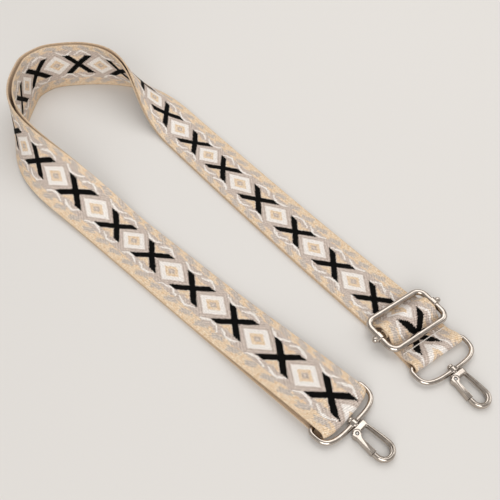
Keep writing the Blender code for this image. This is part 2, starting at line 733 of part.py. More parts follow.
def gate_outline():
    """Side view of the gate: a thumb tab at the heel, a plate that leans out to the bow, and the eye."""
    inner = BOW_SIDE_SHIFT - BOW_INNER_RADIUS
    tip_low = math.asin((GATE_TIP - PIVOT.y) / GATE_LENGTH)
    tip_high = math.asin((inner - PIVOT.y) / GATE_LENGTH)
    rear = PIVOT.x - THUMB_TAB_LENGTH / 2
    front = rear + THUMB_TAB_LENGTH
    step = THUMB_TAB_HEIGHT
    outline = [(rear, GATE_HEEL + step), (rear, GATE_HEEL), (rear + step, GATE_HEEL - step)]
    outline += [(front - step, GATE_HEEL - step), (front + step, GATE_HEEL)]
    outline += arc(PIVOT, GATE_LENGTH, tip_low, tip_high, 3)
    outline += [(PIVOT.x + GATE_NECK_AT, PIVOT.y + GATE_NECK_ASIDE)]
    outline += arc(PIVOT, GATE_EYE_RADIUS, math.pi / 4, math.pi * 7 / 6, ARC_STEPS)
    return outline


def gate(name, mount):
    """A channel whose two cheeks straddle the base's lugs, with a thumb tab at its heel."""
    half = GATE_THICKNESS / 2
    lever = prism(name, gate_outline(), -half, half, nickel_material(name))
    rear = PIVOT.x - GATE_EYE_RADIUS - OVERRUN
    front = PIVOT.x + THUMB_TAB_LENGTH / 2 + THUMB_TAB_HEIGHT
    tip = PIVOT.x + GATE_LENGTH - GATE_WEB - GATE_WALL
    top = PIVOT.y + GATE_EYE_RADIUS + OVERRUN
    room = [(rear, GATE_HEEL + GATE_WEB), (front, GATE_HEEL + GATE_WEB)]
    room += [(tip, GATE_TIP + GATE_WEB), (tip, top), (rear, top)]
    inside = half - GATE_WALL
    combine(lever, prism("channel", room, -inside, inside), "DIFFERENCE")
    through = Vector((0, 0, half + OVERRUN))
    pin_hole = PIN_DIAMETER / 2 + PIN_CLEARANCE
    combine(lever, cylinder("pin_hole", pin_hole, PIVOT - through, PIVOT + through), "DIFFERENCE")
    seat(lever, mount, PIVOT)


def gate_pin(name, mount):
    half = Vector((0, 0, GATE_THICKNESS / 2 - PIN_HEAD_STEP))
    pin = cylinder(name, PIN_DIAMETER / 2, PIVOT - half, PIVOT + half, steel_material(name))
    seat(pin, mount, PIVOT)


def gate_spring(name, mount):
    """The small coil round the gate's pin, as the sleeve that it fills."""
    outer = SPRING_INNER_RADIUS + SPRING_WALL
    spring = ring(name, SPRING_INNER_RADIUS, outer, SPRING_LENGTH / 2, PIVOT, steel_material(name))
    seat(spring, mount, PIVOT)


def hook(letter, place, turn):
    """One swivel hook on its D-loop, drooping until the bow rests on the table."""
    mount = empty(f"hook_{letter}_mount", centre_of(place, BAR_HEIGHT), (0, HOOK_DROOP, turn))
    d_loop(f"hook_{letter}_d_loop", mount)
    swivel_post(f"hook_{letter}_swivel_post", mount)
    hook_body(f"hook_{letter}_body", mount)
    gate(f"hook_{letter}_gate", mount)
    gate_pin(f"hook_{letter}_gate_pin", mount)
    gate_spring(f"hook_{letter}_gate_spring", mount)
    return mount


def centre_on_origin(roots):
    """Moves the whole strap until its box stands over the origin, on the table."""
    bpy.context.view_layer.update()
    corners = []
    for made in bpy.context.scene.objects:
        if made.type == "MESH":
            corners += [made.matrix_world @ vertex.co for vertex in made.data.vertices]
    low = Vector([min(corner[axis] for corner in corners) for axis in range(3)])
    high = Vector([max(corner[axis] for corner in corners) for axis in range(3)])
    middle = (low + high) / 2
    for root in roots:
        root.location -= Vector((middle.x, middle.y, low.z))


def main():
    for old in list(bpy.data.objects):
        bpy.data.objects.remove(old)
    heading_a = float(heading(np.float64(HOOK_A_BAR_AT)))
    heading_b = float(heading(np.float64(-HOOK_B_BAR_AT))) - math.pi + HOOK_B_SKEW
    roots = [
        strap_webbing(),
        hook_a_stitching(),
        slider(),
        hook("a", HOOK_A_BAR_AT, heading_a),
        hook("b", -HOOK_B_BAR_AT, heading_b),
    ]
    for root in roots[:2]:
        shade_round(root)
    centre_on_origin(roots)


main()
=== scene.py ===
# %% [markdown]
# # A detachable bag strap
#
# A doubled band of patterned webbing, with a wire slider and a swivel hook at each end. Its two arms
# lie flat and the far loop stands on its edge. The jointed model is loaded first: every piece made
# here sits where its plain solid is and moves with the same body.

# %% Load the jointed model
import json
import math

import bpy
import numpy as np
from mathutils import Matrix, Vector


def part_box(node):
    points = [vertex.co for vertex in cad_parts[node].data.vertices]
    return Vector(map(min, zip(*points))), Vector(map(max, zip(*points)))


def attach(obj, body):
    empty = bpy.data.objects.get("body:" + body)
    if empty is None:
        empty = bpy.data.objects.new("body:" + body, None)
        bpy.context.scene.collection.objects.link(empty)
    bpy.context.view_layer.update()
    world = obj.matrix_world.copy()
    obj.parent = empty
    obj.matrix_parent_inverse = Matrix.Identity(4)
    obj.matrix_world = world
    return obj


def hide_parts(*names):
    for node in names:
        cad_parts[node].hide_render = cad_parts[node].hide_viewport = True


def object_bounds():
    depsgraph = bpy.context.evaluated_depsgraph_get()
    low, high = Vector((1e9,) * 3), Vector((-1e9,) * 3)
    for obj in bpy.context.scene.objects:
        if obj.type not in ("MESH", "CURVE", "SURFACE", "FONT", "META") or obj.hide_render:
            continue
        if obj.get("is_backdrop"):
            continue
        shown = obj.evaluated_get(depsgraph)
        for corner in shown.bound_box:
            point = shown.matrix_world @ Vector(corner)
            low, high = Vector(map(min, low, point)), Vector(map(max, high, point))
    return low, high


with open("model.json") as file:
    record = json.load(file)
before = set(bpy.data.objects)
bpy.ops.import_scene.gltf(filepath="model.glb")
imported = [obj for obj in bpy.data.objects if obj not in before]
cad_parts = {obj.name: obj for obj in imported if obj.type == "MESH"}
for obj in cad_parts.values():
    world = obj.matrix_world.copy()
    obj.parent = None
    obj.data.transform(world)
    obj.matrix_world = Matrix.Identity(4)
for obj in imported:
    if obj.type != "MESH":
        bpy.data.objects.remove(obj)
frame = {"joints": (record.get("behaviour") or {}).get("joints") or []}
cad_low, cad_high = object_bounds()

MM = 0.001
DEG = math.pi / 180


def in_mm(values):
    return [round(value / MM, 1) for value in values]


print("the jointed model measures", in_mm(cad_high[i] - cad_low[i] for i in range(3)), "mm")

# %% [markdown]
# ## The camera
#
# The photograph looks down on the strap from beyond the hooks. `to_track_quat` points the camera's
# own -Z at the target and keeps its Y upward.

# %% The camera at the photograph's angle
CAMERA_AT = Vector((240.3, -177.6, 315.9)) * MM
CAMERA_AIM = Vector((44.7, 6.1, 0)) * MM
CAMERA_LENS = 43.2

bpy.ops.object.camera_add(location=CAMERA_AT)
camera = bpy.context.object
camera.name = "camera"
camera.rotation_euler = (CAMERA_AIM - CAMERA_AT).to_track_quat("-Z", "Y").to_euler()
camera.data.lens = CAMERA_LENS
camera.data.sensor_width = 36
camera.data.clip_start = 10 * MM
bpy.context.scene.camera = camera
print("camera", round((CAMERA_AT - CAMERA_AIM).length / MM), "mm from the strap")

# %% [markdown]
# ## Tools of the bench
#
# Blender's operators act on what is selected. These helpers pick pieces, faces or points and apply one
# modifier at a time, so that each piece below reads as the steps of a person at the screen.


# %% Selecting and finishing helpers
SAME_POINT = 0.001 * MM


def choose(piece):
    """Makes one piece the only selected and active one."""
    bpy.ops.object.select_all(action="DESELECT")
    piece.select_set(True)
    bpy.context.view_layer.objects.active = piece


def added(name):
    """Names the primitive that was just added, and puts its place into its mesh."""
    piece = bpy.context.object
    choose(piece)
    bpy.ops.object.transform_apply(location=True, rotation=True, scale=True)
    piece.name = name
    piece.data.name = name
    return piece


def pick(piece, test, kind="FACE"):
    """Opens the piece in edit mode with only the faces or points selected that pass the test."""
    choose(piece)
    bpy.ops.object.mode_set(mode="EDIT")
    bpy.ops.mesh.select_mode(type=kind)
    bpy.ops.mesh.select_all(action="DESELECT")
    close_edit()
    parts = piece.data.polygons if kind == "FACE" else piece.data.vertices
    for part in parts:
        part.select = test(part.center, part.normal) if kind == "FACE" else test(part.co)
    bpy.ops.object.mode_set(mode="EDIT")


def close_edit():
    """Goes back from edit mode to the whole object."""
    bpy.ops.object.mode_set(mode="OBJECT")


def apply_step(piece, kind, **settings):
    """Adds one modifier with its settings and applies it."""
    choose(piece)
    step = piece.modifiers.new(kind.lower(), kind)
    for name, value in settings.items():
        setattr(step, name, value)
    bpy.ops.object.modifier_apply(modifier=step.name)


def cut(piece, tool, operation="DIFFERENCE"):
    """Cuts the piece with a tool, or joins the two, and throws the tool away."""
    apply_step(piece, "BOOLEAN", object=tool, operation=operation, solver="EXACT")
    bpy.data.objects.remove(tool)


def soften(piece, voxel, turns):
    """Melts a cut piece into one cast skin with small fillets in its corners."""
    apply_step(piece, "REMESH", mode="VOXEL", voxel_size=voxel)
    apply_step(piece, "SMOOTH", factor=0.5, iterations=turns)
    choose(piece)
    bpy.ops.object.shade_smooth()


def break_edges(piece, width, segments=2, angle=35 * DEG, smooth_below=40 * DEG):
    """Takes the sharpness off every edge."""
    apply_step(
        piece, "BEVEL", width=width, segments=segments, limit_method="ANGLE", angle_limit=angle
    )
    choose(piece)
    bpy.ops.object.shade_smooth_by_angle(angle=smooth_below)


def rod(name, start, end, radius, sides=40):
    """A plain round rod between two points."""
    start, end = Vector(start), Vector(end)
    bpy.ops.mesh.primitive_cylinder_add(
        vertices=sides,
        radius=radius,
        depth=(end - start).length,
        location=(start + end) / 2,
        rotation=(end - start).to_track_quat("Z", "Y").to_euler(),
    )
    return added(name)


def block(name, middle, size):
    """A box by its middle and its size."""
    bpy.ops.mesh.primitive_cube_add(size=1, location=middle, scale=size)
    return added(name)


def plate(name, outline, low, high):
    """A flat outline in XY, filled and pulled up to a plate."""
    bpy.ops.mesh.primitive_circle_add(vertices=len(outline), radius=MM, fill_type="NGON")
    piece = added(name)
    for point, (x, y) in zip(piece.data.vertices, outline):
        point.co = (x, y, low)
    pick(piece, lambda centre, normal: True)
    bpy.ops.mesh.extrude_region_move(TRANSFORM_OT_translate={"value": (0, 0, high - low)})
    bpy.ops.mesh.select_all(action="SELECT")
    bpy.ops.mesh.normals_make_consistent(inside=False)
    close_edit()
    return piece


def turn_outward(piece):
    """Merges doubled points and makes every face point outward."""
    choose(piece)
    bpy.ops.object.mode_set(mode="EDIT")
    bpy.ops.mesh.select_all(action="SELECT")
    bpy.ops.mesh.remove_doubles(threshold=SAME_POINT)
    bpy.ops.mesh.normals_make_consistent(inside=False)
    close_edit()


def round_wire(name, points, thickness, closed=True, fineness=3, roundness=8):
    """Round wire: a circle curve, opened if need be, gets more points, which are put in place."""
    bpy.ops.curve.primitive_bezier_circle_add(radius=MM)
    curve = bpy.context.object.data
    curve.splines[0].use_cyclic_u = closed
    stretches = 4 if closed else 3
    bpy.ops.object.mode_set(mode="EDIT")
    bpy.ops.curve.select_all(action="SELECT")
    bpy.ops.curve.subdivide(number_cuts=(len(points) - 4) // stretches)
    close_edit()
    for knot, spot in zip(curve.splines[0].bezier_points, points):
        knot.co = spot
        knot.handle_left_type = knot.handle_right_type = "AUTO"
    curve.dimensions = "3D"
    curve.resolution_u = fineness
    curve.bevel_depth = thickness / 2
    curve.bevel_resolution = roundness
    curve.use_fill_caps = not closed
    choose(bpy.context.object)
    bpy.ops.object.convert(target="MESH")
    piece = added(name)
    if closed:
        turn_outward(piece)
    bpy.ops.object.shade_smooth()
    return piece


def arc(centre, radius, start, end, steps):
    """Points in XY of a round stretch, both ends included."""
    turns = [start + (end - start) * i / steps for i in range(steps + 1)]
    return [(centre[0] + radius * math.cos(t), centre[1] + radius * math.sin(t)) for t in turns]


def spaced(outline, count):
    """The same closed outline, flat in space, with its points spaced evenly."""
    ring = np.array(outline + outline[:1])
    lengths = np.concatenate([[0], np.cumsum(np.linalg.norm(np.diff(ring, axis=0), axis=1))])
    places = np.linspace(0, lengths[-1], count, endpoint=False)
    x, y = [np.interp(places, lengths, ring[:, axis]) for axis in (0, 1)]
    return [Vector((*pair, 0)) for pair in zip(x, y)]


print("bench ready")

# %% [markdown]
# ## Where the hardware sits
#
# The joints' axes give the direction of each hook and of its D-loop's bar. So a piece is modelled
# straight at the origin, bar along Y and hook toward +X, and is then moved by one matrix.


# %% Frames of the two hooks and of the slider
def axis_frame(origin, x_axis, y_axis):
    x_axis = Vector(x_axis).normalized()
    y_axis = Vector(y_axis).normalized()
    turn = Matrix((x_axis, y_axis, x_axis.cross(y_axis))).transposed()
    return Matrix.Translation(origin) @ turn.to_4x4()


joints = {joint["name"]: joint for joint in frame["joints"]}
HOOK_FRAMES = {}
for letter in "ab":
    swing, swivel = joints[f"hook_{letter}_swing"], joints[f"hook_{letter}_swivel"]
    HOOK_FRAMES[letter] = axis_frame(Vector(swing["pos_m"]), swivel["axis"], swing["axis"])

SLIDER_ASIDE = 0.3 * MM
slider_x = Vector(joints["slider_frame_shift"]["axis"])
slider_y = Vector((0, 0, 1)).cross(slider_x)
frame_low, frame_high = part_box("slider_frame")
slider_middle = (frame_low + frame_high) / 2 - slider_y * SLIDER_ASIDE
SLIDER_FRAME = axis_frame(slider_middle, slider_x, slider_y)
print("hooks at", [in_mm(place.translation) for place in HOOK_FRAMES.values()])


def hang(piece, body, node):
    """Hangs a piece on its body, and hides the solid that it dresses."""
    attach(piece, body)
    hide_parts(node)


def settle(piece, place, body, node):
    """Moves a finished piece to its place in the strap, and hangs it there."""
    piece.data.transform(place)
    hang(piece, body, node)


def twin(piece, name):
    """A copy with a mesh of its own."""
    copy = piece.copy()
    copy.data = piece.data.copy()
    copy.name = copy.data.name = name
    bpy.context.scene.collection.objects.link(copy)
    return copy


# %% [markdown]
# ## Building materials from nodes
#
# A woven pattern is arithmetic on the cloth's own coordinates: how far along, how far across. Math
# nodes do this, one line each, and soft thresholds turn a distance into a patch of colour.


# %% Node helpers
def new_finish(name):
    """Begins a material: the helpers below add to its tree until the next one is begun."""
    global tree
    made = bpy.data.materials.new(name)
    made.use_nodes = True
    tree = made.node_tree
    return made, tree.nodes["Principled BSDF"]


def feed(socket, value):
    """Puts a number, a colour or another node's output into a socket."""
    if hasattr(value, "is_output"):
        tree.links.new(value, socket)
    else:
        socket.default_value = value


def calc(operation, *values):
    """One Math node. A value is a number or another node's output."""
    node = tree.nodes.new("ShaderNodeMath")
    node.operation = operation
    for socket, value in zip(node.inputs, values):
        feed(socket, value)
    return node.outputs[0]


def mapped(value, *limits):
    """Carries a value from one range, the first two limits, to the range of the last two."""
    node = tree.nodes.new("ShaderNodeMapRange")
    feed(node.inputs["Value"], value)
    for name, limit in zip(("From Min", "From Max", "To Min", "To Max"), limits):
        node.inputs[name].default_value = limit
    return node.outputs["Result"]


def below(value, edge, soft):
    """1 where the value is below the edge, 0 above, with a soft border."""
    return mapped(value, edge - soft / 2, edge + soft / 2, 1, 0)


def paint(mask, under, over):
    """Lays one colour over another where the mask is 1."""
    node = tree.nodes.new("ShaderNodeMix")
    node.data_type = "RGBA"
    feed(node.inputs["Factor"], mask)
    feed(node.inputs[6], under)
    feed(node.inputs[7], over)
    return node.outputs[2]


def speckle(vector, scale, detail=2.0, roughness=0.5):
    """Noise from 0 to 1 at a scale per unit of the vector."""
    node = tree.nodes.new("ShaderNodeTexNoise")
    settings = {"Vector": vector, "Scale": scale, "Detail": detail, "Roughness": roughness}
    for name, value in settings.items():
        feed(node.inputs[name], value)
    return node.outputs["Fac"]


def spread(value, low, high):
    """Stretches noise, which stays near its middle, to run from low to high."""
    return mapped(value, 0.3, 0.7, low, high)


def scaled(colour, factor):
    """A colour made lighter or darker by a factor."""
    node = tree.nodes.new("ShaderNodeVectorMath")
    node.operation = "SCALE"
    tree.links.new(colour, node.inputs[0])
    tree.links.new(factor, node.inputs["Scale"])
    return node.outputs[0]


def object_place():
    """The place on the piece, in metres."""
    return tree.nodes.new("ShaderNodeTexCoord").outputs["Object"]


def coat(shader, colour, roughness):
    """Gives a shader its colour and its roughness."""
    feed(shader.inputs["Base Color"], colour)
    feed(shader.inputs["Roughness"], roughness)


def raise_surface(shader, height, depth, strength):
    """Bump from a height of 0 to 1, that many metres deep."""
    node = tree.nodes.new("ShaderNodeBump")
    node.inputs["Distance"].default_value = depth
    node.inputs["Strength"].default_value = strength
    tree.links.new(height, node.inputs["Height"])
    tree.links.new(node.outputs["Normal"], shader.inputs["Normal"])


def tone(red, green, blue):
    """A colour as seen on screen, from 0 to 255, in the linear values that shaders use."""
    parts = [value / 255 for value in (red, green, blue)]
    return tuple(v / 12.92 if v <= 0.04045 else ((v + 0.055) / 1.055) ** 2.4 for v in parts) + (1,)


# %% [markdown]
# ## The woven pattern
#
# The band is a jacquard weave with a common folk geometric. Along the middle, a black cross takes
# turns with an ivory diamond round a sand-coloured heart. Waved ivory strokes follow on each side,
# and small leaves fill the sand-coloured borders. In the UV map, `u` counts repeats of the pattern,
# with a cross at every whole number, and `v` runs from 0 to 1 over the width. Both are rounded to the
# pitch of the yarn, which gives every slanted edge the small steps of a woven edge.

# %% Sizes and colours of the pattern
BAND_WIDTH_MM = 38.0
REPEAT_MM = 40.4
PATTERN_MIDDLE_MM = 20.2
YARN_ALONG_MM = 1.0
YARN_ACROSS_MM = 0.5
STITCH_MM = 0.9
HATCH_MM = 1.15
CROSS_REACH_MM = 8.4
CROSS_SLOPE = 0.79
CROSS_HALF_WIDTH_MM = 3.35
WEDGE_REACH_MM = 7.9
WEDGE_FROM_MM = -3.2
NOTCH_FROM_MM = -6.2
NOTCH_STRENGTH = 0.7
DIAMOND_LONG_MM = 12.4
DIAMOND_WIDE_MM = 8.6
ECHOES = 4.2
WAVE_INNER_MM = 8.9
WAVE_OUTER_MM = 12.2
WAVE_HEIGHT_MM = 3.1
WAVE_HALF_WIDTH_MM = 0.52
WAVE_SWELL_MM = 0.3
ARCH_FROM_MM = -12.8
ARCH_RUN_MM = 15.2
DIP_FROM_MM = 3.0
DIP_RUN_MM = 16.4
BORDER_FROM_MM = 12.9
LEAF_ROW_MM = 15.2
LEAVES_PER_REPEAT = 2.75
LEAF_HALF_LENGTH_MM = 5.4
LEAF_HALF_WIDTH_MM = 3.0
LEAF_LEAN = -1.1
LEAF_DRIFT = 0.3
LEAF_FRAY = 0.9
YARN_DEPTH = 0.16 * MM
YARN_RELIEF = 0.8

SAND = tone(230, 194, 150)
PALE_SAND = tone(242, 226, 204)
TAUPE = tone(186, 168, 156)
PALE_TAUPE = tone(228, 214, 203)
LEAF = tone(184, 171, 162)
PALE_LEAF = tone(228, 215, 202)
IVORY = tone(247, 240, 233)
BLACK = tone(9, 9, 8)
SELVEDGE = tone(226, 200, 168)
DARK_SELVEDGE = tone(202, 172, 138)
REVERSE = tone(220, 193, 162)
DARK_REVERSE = tone(196, 168, 138)


# %% The finish of the patterned face
def cloth_place():
    """The cloth's coordinates in millimetres: along, across, and the pair as a vector."""
    uv = tree.nodes.new("ShaderNodeUVMap")
    uv.uv_map = "weave"
    parts = tree.nodes.new("ShaderNodeSeparateXYZ")
    tree.links.new(uv.outputs["UV"], parts.inputs[0])
    along = calc("MULTIPLY", parts.outputs["X"], REPEAT_MM)
    across = calc("MULTIPLY", parts.outputs["Y"], BAND_WIDTH_MM)
    pair = tree.nodes.new("ShaderNodeCombineXYZ")
    tree.links.new(along, pair.inputs["X"])
    tree.links.new(across, pair.inputs["Y"])
    return along, across, pair.outputs[0]


def yarn_height(along, across):
    """Ribs across the band, each broken into stitches that sit half a step apart in turn."""
    rib = calc("SINE", calc("MULTIPLY", across, math.pi / YARN_ACROSS_MM))
    odd = calc("MULTIPLY", calc("SIGN", rib), math.pi / 2)
    turns = calc("MULTIPLY_ADD", along, 2 * math.pi / STITCH_MM, odd)
    step = calc("MULTIPLY_ADD", calc("SINE", turns), 0.5, 0.5)
    return calc("MULTIPLY", calc("ABSOLUTE", rib), step)


def waved_line(colour, out, along, start, run, foot, height):
    """Paints an ivory stroke that bulges from its foot, thick in its middle and thin at its ends."""
    share = calc("DIVIDE", calc("SUBTRACT", along, start), run)
    off_middle = calc("ABSOLUTE", calc("MULTIPLY_ADD", share, 2, -1))
    bulge = calc("SUBTRACT", 1, calc("POWER", off_middle, 1.5))
    line = calc("MULTIPLY_ADD", bulge, height, foot)
    away = calc("ABSOLUTE", calc("SUBTRACT", out, line))
    slim = calc("MULTIPLY_ADD", bulge, -WAVE_SWELL_MM, away)
    on_line, in_run = below(slim, WAVE_HALF_WIDTH_MM, 0.4), below(off_middle, 1, 0.05)
    return paint(calc("MULTIPLY", on_line, in_run), colour, IVORY)


def patterned_finish(name):
    made, shader = new_finish(name)
    along, across, pair = cloth_place()
    row = calc("SNAP", along, YARN_ALONG_MM)
    column = calc("SNAP", across, YARN_ACROSS_MM)
    ragged = spread(speckle(pair, 0.9, 3.0), -0.42, 0.42)
    drift = spread(speckle(pair, 0.22, 3.0), -0.8, 0.8)
    plain_out = calc("ABSOLUTE", calc("SUBTRACT", column, PATTERN_MIDDLE_MM))
    out = calc("ADD", plain_out, ragged)
    loose_out = calc("ADD", out, drift)
    repeats = calc("DIVIDE", row, REPEAT_MM)
    part = calc("SUBTRACT", calc("FRACT", calc("ADD", repeats, 0.5)), 0.5)
    from_cross = calc("MULTIPLY", part, REPEAT_MM)
    beside_cross = calc("ABSOLUTE", from_cross)

    # How far out of the diamond's middle a place is: 1 on the diamond's outline
    from_diamond = calc("SUBTRACT", REPEAT_MM / 2, beside_cross)
    long_part = calc("DIVIDE", from_diamond, DIAMOND_LONG_MM)
    ring = calc("ADD", long_part, calc("DIVIDE", out, DIAMOND_WIDE_MM))

    # The sand and taupe yarns are both mottled, and fine lines in the taupe follow the diamond
    mottled = spread(speckle(pair, 0.5, 4.0, 0.8), -0.1, 1.1)
    echo = calc("SINE", calc("MULTIPLY", ring, 2 * math.pi * ECHOES))
    streaked = spread(speckle(pair, 0.6, 4.0, 0.8), -0.1, 1.0)
    streaked = calc("MULTIPLY_ADD", echo, 0.3, streaked)
    sand = paint(mottled, SAND, PALE_SAND)
    taupe = paint(streaked, TAUPE, PALE_TAUPE)
    leaf_grey = paint(streaked, LEAF, PALE_LEAF)

    # Ground of the middle stripe, and the sand-coloured wedges between the arms of each cross
    colour = paint(below(loose_out, BORDER_FROM_MM, 0.3), sand, taupe)
    wedge = calc("SUBTRACT", calc("MULTIPLY", beside_cross, CROSS_SLOPE), out)
    in_reach = below(loose_out, WEDGE_REACH_MM, 0.5)
    in_wedge = calc("MULTIPLY", below(wedge, WEDGE_FROM_MM, 0.3), in_reach)
    colour = paint(in_wedge, colour, sand)
    notch = calc("MULTIPLY", below(wedge, NOTCH_FROM_MM, 0.6), NOTCH_STRENGTH)
    colour = paint(calc("MULTIPLY", notch, in_reach), colour, taupe)

    # The diamond: ivory ring, sand heart, taupe eye with a pale dot
    layers = ((1.0, 0.06, IVORY), (0.56, 0.05, sand), (0.27, 0.06, taupe), (0.1, 0.06, PALE_TAUPE))
    for edge, soft, layer in layers:
        colour = paint(below(ring, edge, soft), colour, layer)

    # The waved ivory line on each side: an arch over each cross, then a dip over each diamond
    past_cross = calc("SUBTRACT", from_cross, DIP_FROM_MM)
    past_cross = calc("FLOORED_MODULO", past_cross, REPEAT_MM)
    arch = (from_cross, ARCH_FROM_MM, ARCH_RUN_MM, WAVE_INNER_MM, WAVE_HEIGHT_MM)
    dip = (past_cross, 0, DIP_RUN_MM, WAVE_OUTER_MM, -WAVE_HEIGHT_MM)
    for stroke in (arch, dip):
        colour = waved_line(colour, loose_out, *stroke)

    # The black cross
    bar = calc("SUBTRACT", beside_cross, calc("DIVIDE", out, CROSS_SLOPE))
    in_bar = below(calc("ABSOLUTE", bar), CROSS_HALF_WIDTH_MM, 0.12)
    in_cross = calc("MULTIPLY", in_bar, below(out, CROSS_REACH_MM, 0.12))
    colour = paint(in_cross, colour, BLACK)

    # Leaves in the borders: slanted, pointed at both ends, with frayed edges
    leaf_part = calc("FRACT", calc("MULTIPLY", repeats, LEAVES_PER_REPEAT))
    leaf_part = calc("SUBTRACT", leaf_part, 0.5)
    leaf_along = calc("MULTIPLY", leaf_part, REPEAT_MM / LEAVES_PER_REPEAT)
    leaf_out = calc("SUBTRACT", plain_out, LEAF_ROW_MM)
    lean_part = calc("MULTIPLY_ADD", leaf_out, LEAF_LEAN, leaf_along)
    leaf_long = calc("DIVIDE", calc("ABSOLUTE", lean_part), LEAF_HALF_LENGTH_MM)
    leaf_wide = calc("DIVIDE", calc("ABSOLUTE", leaf_out), LEAF_HALF_WIDTH_MM)
    leaf = calc("ADD", leaf_long, leaf_wide)
    leaf = calc("ADD", leaf, calc("MULTIPLY", drift, LEAF_DRIFT))
    leaf = calc("MULTIPLY_ADD", ragged, LEAF_FRAY, leaf)
    colour = paint(below(leaf, 1, 0.35), colour, leaf_grey)

    # Yarns: a faint slanted hatch, darker and lighter dots at random, and painted shade in the hollows
    # between the stitches, with painted light on their tops
    stitches = yarn_height(along, across)
    slanted = calc("MULTIPLY_ADD", across, 0.25, along)
    hatch = calc("SINE", calc("MULTIPLY", slanted, 2 * math.pi / HATCH_MM))
    dots = spread(speckle(pair, 1.0, 3.0, 0.9), 0.7, 1.24)
    shade = calc("MULTIPLY", dots, calc("MULTIPLY_ADD", hatch, 0.12, 0.95))
    # Painted shade between the yarns and painted light on their tops, from the same height as the bump
    shade = calc("MULTIPLY", shade, calc("MULTIPLY_ADD", stitches, 0.2, 0.93))
    rough = spread(speckle(pair, 1.5), 0.78, 0.95)
    coat(shader, scaled(colour, shade), rough)

    height = calc("MULTIPLY_ADD", in_cross, 0.25, stitches)
    raise_surface(shader, height, YARN_DEPTH, YARN_RELIEF)
    shader.inputs["Specular IOR Level"].default_value = 0.08
    return made


patterned = patterned_finish("patterned_weave")
print("pattern nodes:", len(patterned.node_tree.nodes))

# %% [markdown]
# The reverse shows the yarns that float behind the pattern, in a flat beige. The selvedge, where the
# wefts turn round, is a plain sand colour.


# %% The finishes of the reverse and the selvedge
def plain_weave_finish(name, base, darker):
    made, shader = new_finish(name)
    along, across, pair = cloth_place()
    floats = spread(speckle(pair, 0.8, 3.0), 0, 1)
    stitches = yarn_height(along, across)
    colour = paint(floats, base, darker)
    # Painted shade in the hollows between the yarns and painted light on their tops, from the same
    # height as the bump
    shade = calc("MULTIPLY_ADD", stitches, 0.25, 0.85)
    rough = spread(speckle(pair, 1.5), 0.78, 0.92)
    coat(shader, scaled(colour, shade), rough)
    raise_surface(shader, stitches, YARN_DEPTH, YARN_RELIEF)
    shader.inputs["Sheen Weight"].default_value = 0.15
    return made


reverse = plain_weave_finish("reverse_weave", REVERSE, DARK_REVERSE)
selvedge = plain_weave_finish("selvedge_weave", SELVEDGE, DARK_SELVEDGE)
print("three webbing finishes")

# %% [markdown]
# ## Metal finishes
#
# The hooks, loops and slider are polished and plated with nickel: nearly a mirror, with a warm tint.
# Its life comes from a slow change of roughness, a hint of orange peel and darker plating in places.
# The pins and springs are plain steel with a fine brushed grain.


# %% Nickel, steel and thread
def metal_finish(name, light, dark, rough, depth, grains):
    """A metal whose tone, roughness and relief each follow a grain: a noise's scale and detail."""
    made, shader = new_finish(name)
    place = object_place()
    tint, polish, relief = [speckle(place, *grain) for grain in grains]
    colour = paint(spread(tint, 0, 1), light, dark)
    coat(shader, colour, spread(polish, *rough))
    raise_surface(shader, relief, depth, 0.5)
    shader.inputs["Metallic"].default_value = 1
    return made


def thread_finish(name):
    made, shader = new_finish(name)
    place = object_place()
    twist = tree.nodes.new("ShaderNodeTexWave")
    twist.inputs["Scale"].default_value = 900
    twist.inputs["Distortion"].default_value = 2
    tree.links.new(place, twist.inputs["Vector"])
    strands = twist.outputs["Fac"]
    # The colour follows the twist's relief: painted shade in its grooves and painted light on its
    # ridges
    colour = paint(strands, tone(228, 220, 210), tone(246, 241, 234))
    coat(shader, colour, spread(speckle(place, 900), 0.55, 0.75))
    raise_surface(shader, strands, 0.08 * MM, 0.8)
    shader.inputs["Sheen Weight"].default_value = 0.2
    return made


POLISHED = ((260, 3.0), (420, 3.0), (700, 2.0))
BRUSHED = ((1800, 4.0),) * 3
nickel = metal_finish(
    "polished_nickel", tone(204, 194, 184), tone(178, 168, 158), (0.08, 0.2), 0.05 * MM, POLISHED
)
steel = metal_finish(
    "plain_steel", tone(190, 188, 184), tone(160, 158, 154), (0.25, 0.4), 0.03 * MM, BRUSHED
)
thread = thread_finish("sewing_thread")
print("metal and thread finishes")

# %% [markdown]
# ## The route of the strap
#
# The outer edge of the band is one long curve on the floor, measured both ways from the far tip of
# the loop: + along arm A, which carries the slider, and - along arm B. One function gives its
# heading, and another how far the band leans up from the floor: upright in the loop, flat in the
# arms. These are the jointed model's own sizes, so the cloth lies in its solid.

# %% Sizes of the route
WIDTH = BAND_WIDTH_MM * MM
THICKNESS = 1.3 * MM
TIP_AT = Vector((-212.862, 1.403, 0)) * MM
TIP_HEADING = 96.96 * DEG
TIP_TURN = 75.05 * DEG
TIP_RUN = 33.25 * MM
STAND_ANGLE = 94.93 * DEG
ARM_A_TURN = 64.74 * DEG
ARM_A_TURN_RUN = 163.6 * MM
ARM_A_FLAT_START = 26.5 * MM
ARM_A_FLAT_RUN = 141.4 * MM
ARM_A_SWAY = 1.8 * DEG
ARM_A_SWAY_START = 200 * MM
ARM_A_SWAY_RUN = 180 * MM
SLIDER_KINK = 5.5 * DEG
SLIDER_KINK_START = 394.3 * MM
SLIDER_KINK_RUN = 24 * MM
ARM_B_TURN = 48.72 * DEG
ARM_B_TURN_START = 24.2 * MM
ARM_B_TURN_RUN = 153.5 * MM
ARM_B_FLAT_START = 25.5 * MM
ARM_B_FLAT_RUN = 200 * MM
HOOK_A_BAR_AT = 432.1 * MM
SLIDER_AT = 405.6 * MM
FOLD_B_AT = 411.55 * MM
SEWN_END_LENGTH = 24 * MM
LOWER_MIDDLE = 0.65 * MM
UPPER_MIDDLE = 2.25 * MM
